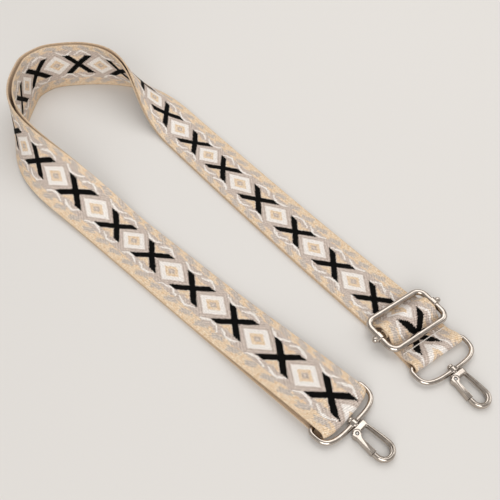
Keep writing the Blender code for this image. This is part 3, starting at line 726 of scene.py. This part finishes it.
LOOP_LAYER_GAP = 2.7 * MM
TAIL_RISE_RUN = 9.5 * MM
FOLD_A_RADIUS = 2.7 * MM
FOLD_B_RADIUS = 3.4 * MM
FOLD_B_RISE_RUN = 116 * MM
FOLD_B_ROUNDING = 2.6 * MM
FOLD_B_ROUNDING_RUN = 22 * MM
LOWER_END_AT = 400.1 * MM
ROUTE_STEP = 0.5 * MM
ROUTE_STEPS = 960


# %% Heading and lean along the route
def smooth(value):
    """Eases from 0 to 1, and stays level outside."""
    value = np.clip(value, 0, 1)
    return value * value * (3 - 2 * value)


def heading(place):
    """The direction in which the edge runs, as an angle on the floor."""
    along = np.abs(place)
    tip = TIP_TURN / 2 * smooth(along / (TIP_RUN / 2))
    arm_a = ARM_A_TURN * smooth(along / ARM_A_TURN_RUN)
    arm_a = arm_a - ARM_A_SWAY * smooth((along - ARM_A_SWAY_START) / ARM_A_SWAY_RUN)
    arm_a = arm_a + SLIDER_KINK * smooth((along - SLIDER_KINK_START) / SLIDER_KINK_RUN)
    arm_b = ARM_B_TURN * smooth((along - ARM_B_TURN_START) / ARM_B_TURN_RUN)
    return np.where(place >= 0, TIP_HEADING - tip - arm_a, TIP_HEADING + tip + arm_b)


def lean(place):
    """How far the band stands up from the floor, as an angle."""
    along = np.abs(place)
    flat_a = smooth((along - ARM_A_FLAT_START) / ARM_A_FLAT_RUN)
    flat_b = smooth((along - ARM_B_FLAT_START) / ARM_B_FLAT_RUN)
    return STAND_ANGLE * (1 - np.where(place >= 0, flat_a, flat_b))


def walked(sign):
    """Points of the outer edge along one arm, stepped from the tip."""
    middles = sign * (np.arange(ROUTE_STEPS) + 0.5) * ROUTE_STEP
    turn = heading(middles)
    steps = sign * ROUTE_STEP * np.stack([np.cos(turn), np.sin(turn)], axis=1)
    return np.vstack([np.zeros(2), np.cumsum(steps, axis=0)])


EDGE_A, EDGE_B = walked(1), walked(-1)


def route_point(place, share, height, onward=0.0):
    """A point of the cloth: place along, share of the width, height over the foot, a step onward."""
    turn = float(heading(np.float64(place)))
    tilt = float(lean(np.float64(place)))
    points = EDGE_A if place >= 0 else EDGE_B
    steps = np.arange(len(points)) * ROUTE_STEP
    x, y = [np.interp(abs(place), steps, points[:, axis]) for axis in (0, 1)]
    along = Vector((math.cos(turn), math.sin(turn), 0))
    inward = Vector((math.sin(turn), -math.cos(turn), 0))
    across = inward * math.cos(tilt) + Vector((0, 0, math.sin(tilt)))
    out = Vector((0, 0, math.cos(tilt))) - inward * math.sin(tilt)
    spot = TIP_AT + Vector((x, y, 0)) + across * WIDTH * share + out * height + along * onward
    spot.z += max(0, -out.z) * (height + THICKNESS / 2)
    return spot


def upper_height(place):
    """Middle of the upper layer: clear of the lower one in the loop, and rising to hook B's fold."""
    height = UPPER_MIDDLE + LOOP_LAYER_GAP * float(lean(np.float64(place))) / STAND_ANGLE
    if place < 0:
        climb = smooth((-place - FOLD_B_AT + FOLD_B_RISE_RUN) / FOLD_B_RISE_RUN)
        height += (LOWER_MIDDLE + 2 * FOLD_B_RADIUS - UPPER_MIDDLE) * float(climb)
    return height


print("route ready, loop tip at", in_mm(route_point(0, 0, 0)))

# %% [markdown]
# ## The webbing
#
# The band starts with a sewn end under arm A, folds round hook A's D-loop, runs under the slider and
# round the loop to hook B, folds back and returns underneath. A grid is added flat and each of its
# rows is put on the route. Solidify gives the thickness and Bevel rounds the selvedge; the UV map
# keeps the cloth's own coordinates.

# %% The path of the middle of the band
# Where the pattern's crosses are in the upper and lower layer, from hook B's end to hook A's
UPPER_CROSSES_MM = (-401, -364.7, -326.3, -287.8, -247.1, -209.2, -166.1, -123.3, -84.0,
                    -39, 6, 51, 96.5, 137.9, 181.8, 219.9, 263.6, 304.4, 342.8, 379.4, 416.0)
LOWER_CROSSES_MM = (-411.5, -39.9, -3.5, 32.9, 72.7, 400)
LOWER_COUNTS = (-0.6, -10, -11, -12, -13, -21)
REPEAT = REPEAT_MM * MM
SEWN_ROWS = 12
FOLD_A_ROWS = 16
RISE_ROWS = 12
UPPER_ROWS = 420
FOLD_B_ROWS = 20
LOWER_ROWS = 410


def upper_count(place):
    """Repeats of the pattern at a place of the upper layer, carried on past its last crosses."""
    marks = np.array(UPPER_CROSSES_MM) * MM
    inside = np.interp(place, marks, np.arange(len(marks)))
    return inside + (min(0, place - marks[0]) + max(0, place - marks[-1])) / REPEAT


def fold_rows(at, radius, start, steps, count):
    """Rows round a fold's half turn, which takes as much of the pattern as it is long."""
    rows = []
    for i in range(1, steps + 1):
        turn = start + math.pi * i / steps
        height = LOWER_MIDDLE + radius * (1 + math.sin(turn))
        taken = math.pi * radius / REPEAT * i / steps
        rows.append((at + radius * math.cos(turn), height, count - taken))
    return rows


def band_path():
    """Rows of (place, height, repeat of the pattern) from the sewn end to the lower layer's end."""
    rows = []
    top_a = LOWER_MIDDLE + 2 * FOLD_A_RADIUS
    last = upper_count(HOOK_A_BAR_AT) + math.pi * FOLD_A_RADIUS / REPEAT
    for i in range(SEWN_ROWS + 1):
        place = HOOK_A_BAR_AT - SEWN_END_LENGTH * (1 - i / SEWN_ROWS)
        rows.append((place, LOWER_MIDDLE, last + (HOOK_A_BAR_AT - place) / REPEAT))
    rows += fold_rows(HOOK_A_BAR_AT, FOLD_A_RADIUS, -math.pi / 2, FOLD_A_ROWS, last)
    for i in range(1, RISE_ROWS):
        height = top_a + (UPPER_MIDDLE - top_a) * float(smooth(i / RISE_ROWS))
        place = HOOK_A_BAR_AT - TAIL_RISE_RUN * i / RISE_ROWS
        rows.append((place, height, upper_count(place)))
    for place in np.linspace(HOOK_A_BAR_AT - TAIL_RISE_RUN, -FOLD_B_AT, UPPER_ROWS):
        rows.append((place, upper_height(place), upper_count(place)))
    first = upper_count(-FOLD_B_AT)
    rows += fold_rows(-FOLD_B_AT, FOLD_B_RADIUS, math.pi / 2, FOLD_B_ROWS, first)
    marks = np.array(LOWER_CROSSES_MM) * MM
    for place in np.linspace(-FOLD_B_AT, LOWER_END_AT, LOWER_ROWS)[1:]:
        rows.append((place, LOWER_MIDDLE, np.interp(place, marks, LOWER_COUNTS)))
    return rows


path = band_path()

# %% The band itself
COLUMNS = 21
SELVEDGE_SHARE = 0.3
SELVEDGE_ANGLE = 50 * DEG


def lay_cloth(name, rows, spot_of):
    """Adds a flat grid, writes its weave coordinates, and puts each row in its place."""
    bpy.ops.mesh.primitive_grid_add(
        x_subdivisions=len(rows) - 1, y_subdivisions=COLUMNS - 1, size=1
    )
    piece = added(name)
    mesh = piece.data
    weave = mesh.uv_layers[0]
    weave.name = "weave"
    for loop in mesh.loops:
        at = mesh.vertices[loop.vertex_index].co
        i = round((at.x + 0.5) * (len(rows) - 1))
        weave.data[loop.index].uv = (rows[i][-1], at.y + 0.5)
    for point in mesh.vertices:
        i = round((point.co.x + 0.5) * (len(rows) - 1))
        point.co = spot_of(rows[i], point.co.y + 0.5)
    return piece


def thicken_cloth(piece, thickness):
    """Gives the band its thickness and rounded selvedge, with the pattern on its outer face."""
    for finish in (patterned, reverse, selvedge):
        piece.data.materials.append(finish)
    apply_step(
        piece, "SOLIDIFY", thickness=thickness, offset=0, material_offset=1, material_offset_rim=2
    )
    break_edges(piece, thickness * SELVEDGE_SHARE, 2, SELVEDGE_ANGLE, SELVEDGE_ANGLE)


def band_spot(row, share):
    """A point of the band, with the corners of the fold at hook B drawn in."""
    place, height, _ = row
    ease = float(smooth((-place - FOLD_B_AT + FOLD_B_ROUNDING_RUN) / FOLD_B_ROUNDING_RUN))
    return route_point(place, share, height, FOLD_B_ROUNDING * ease * abs(2 * share - 1) ** 4)


webbing = lay_cloth("webbing", path, band_spot)
thicken_cloth(webbing, THICKNESS)
hang(webbing, "strap", "strap_webbing")
print("webbing:", len(webbing.data.polygons), "faces")

# %% [markdown]
# ## The band over the slider's bar
#
# Inside the slider the band climbs over the middle bar. This hump slides along with the slider, so it
# is a short piece of its own, made like the long band. A second short piece is the band's inner end,
# wrapped round the bar and sewn: most of it hides under the hump.

# %% The hump and the wrapped end
SLIDER_HEIGHT = 6.8 * MM
HUMP_FOOT = 3.85 * MM
HUMP_TOP = 10.6 * MM
HUMP_RUN = 9.7 * MM
HUMP_RISE_RUN = 7 * MM
HUMP_END = 13.4 * MM
HUMP_SHIFT = -0.02
HUMP_ASIDE = 0.06
HUMP_REPEAT = 37 * MM
HUMP_ROWS = 61
BAR_RADIUS = 1.4 * MM
WRAP_CLEARANCE = 0.15 * MM
WRAP_MIDDLE = BAR_RADIUS + WRAP_CLEARANCE + THICKNESS / 2
WRAP_TAB_MM = ((-5.8, -2.95), (-4.6, -2.95), (-3.2, -2.9))
WRAP_START_DEGREES = 112
WRAP_TURN_DEGREES = 305
WRAP_STEPS = 24
WRAP_ROWS_PER_REPEAT = 40
WRAP_THINNER = 0.9


def hump_rows():
    """Rows of (x, height, repeat) over the bar, in the slider's own frame."""
    rows = []
    for x in np.linspace(HUMP_END, -HUMP_END, HUMP_ROWS):
        rise = float(smooth((HUMP_RUN - abs(x)) / HUMP_RISE_RUN))
        height = HUMP_FOOT + (HUMP_TOP - HUMP_FOOT) * rise - SLIDER_HEIGHT
        rows.append((x, height, upper_count(SLIDER_AT) - HUMP_SHIFT + x / HUMP_REPEAT))
    return rows


def slider_spot(row, share):
    x, height, _ = row
    return Vector((x, (0.5 - share) * WIDTH, height))


hump = lay_cloth("slider_webbing_hump", hump_rows(), slider_spot)
for corner in hump.data.uv_layers["weave"].data:
    corner.uv.y += HUMP_ASIDE
thicken_cloth(hump, THICKNESS)
settle(hump, SLIDER_FRAME, "slider", "slider_webbing_crest")


def wrap_rows():
    """Rows of (x, height, repeat) along the sewn tab and round the bar."""
    rows = [(x * MM, height * MM) for x, height in WRAP_TAB_MM]
    for i in range(WRAP_STEPS + 1):
        turn = -(WRAP_START_DEGREES - WRAP_TURN_DEGREES * i / WRAP_STEPS) * DEG
        rows.append((WRAP_MIDDLE * math.cos(turn), WRAP_MIDDLE * math.sin(turn)))
    start = upper_count(SLIDER_AT)
    return [(x, height, start + i / WRAP_ROWS_PER_REPEAT) for i, (x, height) in enumerate(rows)]


wrap = lay_cloth("slider_webbing_wrap", wrap_rows(), slider_spot)
thicken_cloth(wrap, THICKNESS * WRAP_THINNER)
settle(wrap, SLIDER_FRAME, "slider", "slider_webbing_end")
print("hump and wrapped end:", len(hump.data.polygons) + len(wrap.data.polygons), "faces")

# %% [markdown]
# ## Stitching
#
# A lock stitch shows as short, plump beads of thread: spheres drawn out and laid along the seam.


# %% The two rows of stitches
SEAM_A_FROM_BAR = 9.9 * MM
SEAM_A_HEIGHT = 3.25 * MM
SEAM_A_SHARES = (2 / 38, 36 / 38)
SEAM_A_COUNT = 20
SEAM_A_WIDTH = 0.8 * MM
SEAM_B_AT = Vector((-4.35, 0, -1.9)) * MM
SEAM_B_REACH = 17 * MM
SEAM_B_COUNT = 16
SEAM_B_WIDTH = 0.7 * MM
BEAD_HEIGHT = 0.5 * MM
BEAD_OVERLAP = 1.04


def stitch_row(name, start, end, count, width):
    """A row of beads of thread from one point to another."""
    step = (end - start) / count
    beads = []
    for i in range(count):
        bpy.ops.mesh.primitive_uv_sphere_add(segments=12, ring_count=8, radius=0.5)
        bead = added(f"{name}_{i}")
        turn = step.to_track_quat("X", "Z").to_matrix().to_4x4()
        size = Matrix.Diagonal((step.length * BEAD_OVERLAP, width, BEAD_HEIGHT, 1))
        bead.data.transform(Matrix.Translation(start + step * (i + 0.5)) @ turn @ size)
        beads.append(bead)
    row = beads[0]
    choose(row)
    for bead in beads:
        bead.select_set(True)
    bpy.ops.object.join()
    row.name = row.data.name = name
    row.data.materials.append(thread)
    bpy.ops.object.shade_smooth()
    return row


seam_at = HOOK_A_BAR_AT - SEAM_A_FROM_BAR
seam_a = [route_point(seam_at, share, SEAM_A_HEIGHT) for share in SEAM_A_SHARES]
row_a = stitch_row("seam_at_hook_a", *seam_a, SEAM_A_COUNT, SEAM_A_WIDTH)
hang(row_a, "strap", "hook_a_stitching")

seam_b = [SEAM_B_AT + Vector((0, side * SEAM_B_REACH, 0)) for side in (-1, 1)]
row_b = stitch_row("seam_at_slider", *seam_b, SEAM_B_COUNT, SEAM_B_WIDTH)
settle(row_b, SLIDER_FRAME, "slider", "slider_end_stitching")
print("stitches:", SEAM_A_COUNT + SEAM_B_COUNT)

# %% [markdown]
# ## The slider
#
# Its frame is round wire bent to a rounded rectangle: a bezier circle with more points, put on the
# rectangle and given a round bevel. The middle bar's ends are curled round the frame's sides, each
# with a small knob. It is built up from a rod, two collars and two knobs, and bored for the wire.

# %% Frame, bar and knobs
SLIDER_WIRE = 4 * MM
SLIDER_SIDE = 22.5 * MM
SLIDER_END = 12.35 * MM
SLIDER_CORNER = 5.5 * MM
COLLAR_RADIUS = SLIDER_WIRE / 2 + 0.85 * MM
COLLAR_HALF_LENGTH = 2.2 * MM
COLLAR_BORE = SLIDER_WIRE / 2 + 0.15 * MM
BAR_REACH = SLIDER_SIDE + COLLAR_RADIUS - 0.3 * MM
KNOB_RADIUS = 1.95 * MM
KNOB_AT = SLIDER_SIDE + 3.65 * MM
THROUGH = 4 * MM
RING_KNOTS = 120

corners = []
for side, end, quarter in ((1, 1, 0), (1, -1, 1), (-1, -1, 2), (-1, 1, 3)):
    x = end * (SLIDER_END - SLIDER_CORNER)
    y = side * (SLIDER_SIDE - SLIDER_CORNER) + SLIDER_ASIDE
    turn = quarter * math.pi / 2
    corners += arc((x, y), SLIDER_CORNER, turn, (quarter + 1) * math.pi / 2, 12)
ring = round_wire("slider_wire", spaced(corners, RING_KNOTS), SLIDER_WIRE)
ring.data.materials.append(nickel)
settle(ring, SLIDER_FRAME, "slider_frame", "slider_frame")

middle = Vector((0, SLIDER_ASIDE, 0))
side_way = Vector((0, 1, 0))
long_way = Vector((1, 0, 0))
half = side_way * BAR_REACH
bar = rod("slider_middle_bar", middle - half, middle + half, BAR_RADIUS)
for side in (-1, 1):
    at = middle + side_way * side * SLIDER_SIDE
    half = long_way * COLLAR_HALF_LENGTH
    cut(bar, rod("collar", at - half, at + half, COLLAR_RADIUS), "UNION")
    bpy.ops.mesh.primitive_uv_sphere_add(segments=32, ring_count=20, radius=KNOB_RADIUS)
    knob = added("knob")
    knob.data.transform(Matrix.Translation(middle + side_way * side * KNOB_AT))
    cut(bar, knob, "UNION")
    cut(bar, rod("bore", at - long_way * THROUGH, at + long_way * THROUGH, COLLAR_BORE))
soften(bar, 0.16 * MM, 3)
bar.data.materials.append(nickel)
settle(bar, SLIDER_FRAME, "slider", "slider_bar")
print("slider:", len(ring.data.polygons) + len(bar.data.polygons), "faces")

# %% [markdown]
# ## The D-loops and swivel posts
#
# A D-loop is round wire with a straight bar inside the webbing's fold and a full curved front, which
# swells to a barrel where the swivel post passes through. The barrel is joined on and bored, and one
# remesh melts it into the wire. The post is turned on a lathe: a profile spun once round its axis.

# %% One D-loop and one post, in the hook's own frame
D_WIRE = 3 * MM
D_HALF_WIDTH = 21.2 * MM
D_FRONT = 14.3 * MM
D_CORNER = 2.8 * MM
D_FRONT_POWER = 3.4
D_CORNER_STEPS = 8
D_FRONT_STEPS = 40
BARREL_START = 12.7 * MM
BARREL_END = 15.8 * MM
BARREL_RADIUS = 2.7 * MM
BORE_START = 11 * MM
BORE_END = 18 * MM
BORE_RADIUS = 1.7 * MM


def d_outline():
    """The middle of the wire: a straight bar, two corners and a full, flattened front."""
    side = D_HALF_WIDTH - D_CORNER
    half = arc((D_CORNER, side), D_CORNER, math.pi, math.pi / 2, D_CORNER_STEPS)
    for i in range(1, D_FRONT_STEPS + 1):
        turn = math.pi / 2 * (1 - i / D_FRONT_STEPS)
        x = D_CORNER + (D_FRONT - D_CORNER) * math.cos(turn) ** (2 / D_FRONT_POWER)
        half.append((x, D_HALF_WIDTH * math.sin(turn) ** (2 / D_FRONT_POWER)))
    return half + [(x, -y) for x, y in half[-2::-1]]


d_loop = round_wire("d_loop", spaced(d_outline(), RING_KNOTS), D_WIRE)
barrel = rod("barrel", (BARREL_START, 0, 0), (BARREL_END, 0, 0), BARREL_RADIUS, 48)
break_edges(barrel, 0.4 * MM, 3)
cut(d_loop, barrel, "UNION")
cut(d_loop, rod("bore", (BORE_START, 0, 0), (BORE_END, 0, 0), BORE_RADIUS, 48))
soften(d_loop, 0.17 * MM, 3)
d_loop.data.materials.append(nickel)

# The post's profile, from the head's face to the seat in the hook: (along, radius)
POST_PROFILE_MM = (
    (10.62, 0), (10.63, 1.1), (10.72, 1.55), (10.95, 1.86), (11.3, 1.98), (11.9, 1.98),
    (12.22, 1.86), (12.36, 1.6), (12.38, 1.4), (17.9, 1.4), (18.2, 1.1), (18.25, 0),
)
bpy.ops.mesh.primitive_circle_add(vertices=len(POST_PROFILE_MM), radius=MM)
post = added("swivel_post")
for point, (x, radius) in zip(post.data.vertices, POST_PROFILE_MM):
    point.co = (x * MM, 0, radius * MM)
pick(post, lambda spot: max(abs(spot.y), abs(spot.z)) < SAME_POINT, "VERT")
bpy.ops.mesh.delete(type="EDGE")
bpy.ops.mesh.select_all(action="SELECT")
bpy.ops.mesh.spin(steps=40, angle=2 * math.pi, center=(0, 0, 0), axis=(1, 0, 0))
close_edit()
turn_outward(post)
bpy.ops.object.shade_smooth_by_angle(angle=50 * DEG)
post.data.materials.append(nickel)
print("D-loop:", len(d_loop.data.polygons), "faces, post:", len(post.data.polygons))

# %% [markdown]
# ## The hook casting
#
# The hook is one casting: a squarish base that holds the post and the gate's pin, a spine and a round
# bow that ends in a nose. Its section is a circle drawn flatter, with a thinner ledge on its inner
# side, extruded along the spine and spun half a turn round the bow's centre. The base is a bevelled
# block, joined on. Cuts make room for the gate's cheeks, its spring and its pin.

# %% The casting, in the hook's own frame
HALF_THICKNESS = 2.1 * MM
LEDGE_HALF_THICKNESS = 1.35 * MM
SPINE_START = 18.5 * MM
SPINE_MIDDLE = 3.85 * MM
SPINE_HALF_WIDTH = 1.12 * MM
# The spine's section further on: x and y of its middle, and how much it widens
SPINE_STEPS_MM = ((21, 4.1, 1.05), (25, 4.5, 1.1), (29.5, 4.9, 1.12), (34.4, 5.1, 1.09))
BOW = Vector((34.4, -0.2, 0)) * MM
NOSE_LENGTH = 3 * MM
BASE_MIDDLE = Vector((18.1, 0.1, 0)) * MM
BASE_SIZE = Vector((3.6, 9.8, 4.2)) * MM
SPINE_SIDE_MIDDLE = Vector((29, 3.4, 0)) * MM
SPINE_SIDE_SIZE = Vector((30, 12, 12)) * MM
PIVOT = Vector((19.4, -3.9, 0)) * MM
GATE_LENGTH = 13.1 * MM
NOSE_GAP = 0.3 * MM
NOSE_REACH_IN = 9.5 * MM
LUG_HALF = 1.2 * MM
LUG_RADIUS = 1.4 * MM
CHEEK_OUTSIDE = 3.5 * MM
ROOM_RADIUS = 2.5 * MM
SPRING_ROOM_HALF = 0.8 * MM
PIN_HOLE_HALF = 3 * MM
PIN_HOLE_RADIUS = 1 * MM
SEAT_START = 15 * MM
SEAT_END = 18.6 * MM
SEAT_RADIUS = 1.6 * MM
up = Vector((0, 0, 1))


def pivot_rod(name, half, radius, sides=40):
    """A rod along the gate's axis, equally long to both sides."""
    return rod(name, PIVOT - up * half, PIVOT + up * half, radius, sides)


bpy.ops.mesh.primitive_circle_add(
    vertices=28,
    radius=MM,
    fill_type="NGON",
    rotation=(0, math.pi / 2, 0),
    location=(SPINE_START, 0, 0),
)
casting = added("hook_casting")
for point in casting.data.vertices:
    y, z = point.co.y / MM, point.co.z / MM
    turn = math.atan2(z, y)
    half_thickness = HALF_THICKNESS if y > -0.1 else LEDGE_HALF_THICKNESS
    aside = SPINE_HALF_WIDTH * math.copysign(abs(math.cos(turn)) ** 0.75, y)
    point.co.y = SPINE_MIDDLE + aside
    point.co.z = half_thickness * math.copysign(abs(math.sin(turn)) ** 0.8, z)
pick(casting, lambda centre, normal: True)
for x, y, grow in SPINE_STEPS_MM:
    bpy.ops.mesh.extrude_region_move(TRANSFORM_OT_translate={"value": (0, 0, 0)})
    close_edit()
    ends = [p for p in casting.data.vertices if p.select]
    at = sum((p.co for p in ends), Vector()) / len(ends)
    for p in ends:
        p.co = Vector((x * MM, y * MM + (p.co.y - at.y) * grow, p.co.z))
    bpy.ops.object.mode_set(mode="EDIT")
bpy.ops.mesh.spin(steps=28, angle=math.pi, center=BOW, axis=(0, 0, 1))
bpy.ops.mesh.extrude_region_move(TRANSFORM_OT_translate={"value": (-NOSE_LENGTH, 0, 0)})
close_edit()
turn_outward(casting)

base = block("base", BASE_MIDDLE, BASE_SIZE)
break_edges(base, 0.7 * MM, 3)
cut(casting, base, "UNION")
cut(casting, pivot_rod("lug", LUG_HALF, LUG_RADIUS), "UNION")
nose = pivot_rod("nose_room", 4 * MM, GATE_LENGTH + NOSE_GAP, 96)
cut(nose, pivot_rod("nose_keep", 5 * MM, NOSE_REACH_IN, 64))
cut(nose, block("spine_side", SPINE_SIDE_MIDDLE, SPINE_SIDE_SIZE))
cut(casting, nose)
for side in (-1, 1):
    near, far = PIVOT + up * side * LUG_HALF, PIVOT + up * side * CHEEK_OUTSIDE
    cut(casting, rod("cheek_room", near, far, ROOM_RADIUS, 48))
cut(casting, pivot_rod("spring_room", SPRING_ROOM_HALF, ROOM_RADIUS, 48))
cut(casting, pivot_rod("pin_hole", PIN_HOLE_HALF, PIN_HOLE_RADIUS))
cut(casting, rod("post_seat", (SEAT_START, 0, 0), (SEAT_END, 0, 0), SEAT_RADIUS))
soften(casting, 0.13 * MM, 4)
casting.data.materials.append(nickel)
print("casting:", len(casting.data.polygons), "faces")

# %% [markdown]
# ## Gate, pin and spring
#
# The gate is a stamped channel: two cheeks straddle the base, and a web closes it on the outside, with
# a small tab at the heel for the thumb. Its outline is drawn as a flat plate, pulled up and hollowed
# from the inside. The pin is a short rivet with rounded heads, and the spring a coil of thin wire.


# %% Gate, pin and spring, in the hook's own frame
GATE_HEEL = -6.1 * MM
GATE_TIP = -7.1 * MM
GATE_INNER = -3.9 * MM
GATE_WEB = 0.5 * MM
TAB_HEIGHT = 0.5 * MM
TAB_REACH = 1.5 * MM
EYE_RADIUS = 2.2 * MM
NECK = Vector((3.2, 0.1, 0)) * MM
CHANNEL_HALF = 1.5 * MM
CHANNEL_REAR = 4 * MM
CHANNEL_BEND = 2 * MM
CHANNEL_FRONT = 12 * MM
PIN_HALF = 2 * MM
PIN_RADIUS = 0.8 * MM
COIL_RADIUS = 1.25 * MM
COIL_WIRE = 0.26 * MM
COIL_LENGTH = 0.7 * MM
COIL_TURNS = 2.5
COIL_KNOTS = 34


def gate_outline():
    """Side view: a thumb tab at the heel, a plate that leans out to the bow, and the eye."""
    low = math.asin((GATE_TIP - PIVOT.y) / GATE_LENGTH)
    high = math.asin((GATE_INNER - PIVOT.y) / GATE_LENGTH)
    rear, front = PIVOT.x - TAB_REACH, PIVOT.x + TAB_REACH
    tab_low = GATE_HEEL - TAB_HEIGHT
    outline = [(rear, GATE_HEEL + TAB_HEIGHT), (rear, GATE_HEEL), (rear + TAB_HEIGHT, tab_low)]
    outline += [(front - TAB_HEIGHT, tab_low), (front + TAB_HEIGHT, GATE_HEEL)]
    outline += arc(PIVOT, GATE_LENGTH, low, high, 10)
    outline += [(PIVOT.x + NECK.x, PIVOT.y + NECK.y)]
    outline += arc(PIVOT, EYE_RADIUS, math.pi / 4, math.pi * 7 / 6, 20)
    return outline


gate = plate("gate", gate_outline(), -HALF_THICKNESS, HALF_THICKNESS)
rear, front, floor_y = PIVOT.x - CHANNEL_REAR, PIVOT.x + CHANNEL_FRONT, GATE_HEEL + GATE_WEB
room = [(rear, floor_y), (PIVOT.x + CHANNEL_BEND, floor_y)]
room += [(front, GATE_TIP + GATE_WEB), (front, 0), (rear, 0)]
cut(gate, plate("channel", room, -CHANNEL_HALF, CHANNEL_HALF))
cut(gate, pivot_rod("pin_hole", PIN_HOLE_HALF, PIN_HOLE_RADIUS))
break_edges(gate, 0.18 * MM, 2, 30 * DEG)
gate.data.materials.append(nickel)

pin = pivot_rod("gate_pin", PIN_HALF, PIN_RADIUS, 32)
break_edges(pin, 0.25 * MM, 3)
pin.data.materials.append(steel)


def coil_points():
    """Points on a helix round the gate's axis."""
    points = []
    for i in range(COIL_KNOTS):
        share = i / (COIL_KNOTS - 1)
        angle = 2 * math.pi * COIL_TURNS * share
        x, y = COIL_RADIUS * math.cos(angle), COIL_RADIUS * math.sin(angle)
        points.append(PIVOT + Vector((x, y, COIL_LENGTH * (share - 0.5))))
    return points


spring = round_wire("gate_spring", coil_points(), COIL_WIRE, closed=False, fineness=4, roundness=3)
spring.data.materials.append(steel)
print("gate:", len(gate.data.polygons), "faces, spring:", len(spring.data.polygons))

# %% [markdown]
# ## Both hooks
#
# Each piece is copied with a mesh of its own, moved by the matrix of its hook and hung on its body,
# so the loops swing, the heads spin and the gates open.

# %% Copies for hook A and hook B
HOOK_PIECES = (
    (d_loop, "d_loop", "d_loop", "nickel"),
    (post, "swivel_post", "head", "nickel"),
    (casting, "body", "head", "nickel"),
    (gate, "gate", "gate", "nickel"),
    (pin, "gate_pin", "head", "steel"),
    (spring, "gate_spring", "gate", "steel"),
)
for letter, place in HOOK_FRAMES.items():
    for model, node, body, slot in HOOK_PIECES:
        piece = twin(model, f"{model.name}_of_hook_{letter}")
        settle(piece, place, f"hook_{letter}_{body}", f"hook_{letter}_{node}")
for model, *_ in HOOK_PIECES:
    bpy.data.objects.remove(model)
print("two hooks hung")

# %% [markdown]
# ## Floor and light
#
# A plain pale floor and soft light: a large panel above, a weak one from the side and one from beyond
# the hooks. Polished metal shows whatever is round it, so the world is darker than the floor: that
# draws the dark lines which make the wire read as round.

# %% Floor, lamps and world
bpy.ops.mesh.primitive_plane_add(size=1)
floor = bpy.context.object
floor.name = "floor"
floor.scale = (8, 8, 1)
floor_finish, floor_shader = new_finish("pale_floor")
cloud = spread(speckle(object_place(), 3.0), 0, 1)
pale = paint(cloud, tone(222, 219, 215), tone(219, 216, 212))
coat(floor_shader, pale, 0.8)
floor_shader.inputs["Specular IOR Level"].default_value = 0.2
floor.data.materials.append(floor_finish)
floor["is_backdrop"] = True


def panel(name, place, size, power):
    """A soft square lamp that faces the strap: place and size in metres, power in watts."""
    bpy.ops.object.light_add(type="AREA", location=place)
    lamp = bpy.context.object
    lamp.name = name
    lamp.rotation_euler = (-Vector(place)).to_track_quat("-Z", "Y").to_euler()
    lamp.data.size = size
    lamp.data.energy = power


panel("top_panel", (-0.35, 0.45, 1.1), 1.2, 8)
panel("side_panel", (0.6, 0.9, 0.7), 0.6, 1.6)
panel("front_panel", (1.1, -1.1, 0.8), 1.3, 17.5)
world = bpy.data.worlds.new("studio")
bpy.context.scene.world = world
world.use_nodes = True
backdrop = world.node_tree.nodes["Background"]
backdrop.inputs["Color"].default_value = (0.62, 0.6, 0.58, 1)
backdrop.inputs["Strength"].default_value = 0.7
bpy.context.scene.view_settings.view_transform = "Standard"
print("studio ready")

# %% [markdown]
# ## The dressed model's size
#
# The box of the dressed model is printed, to set beside that of the jointed model printed at the
# start.

# %% Print the dressed model's size
low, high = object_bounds()
print("the dressed model measures", in_mm(high[i] - low[i] for i in range(3)), "mm")
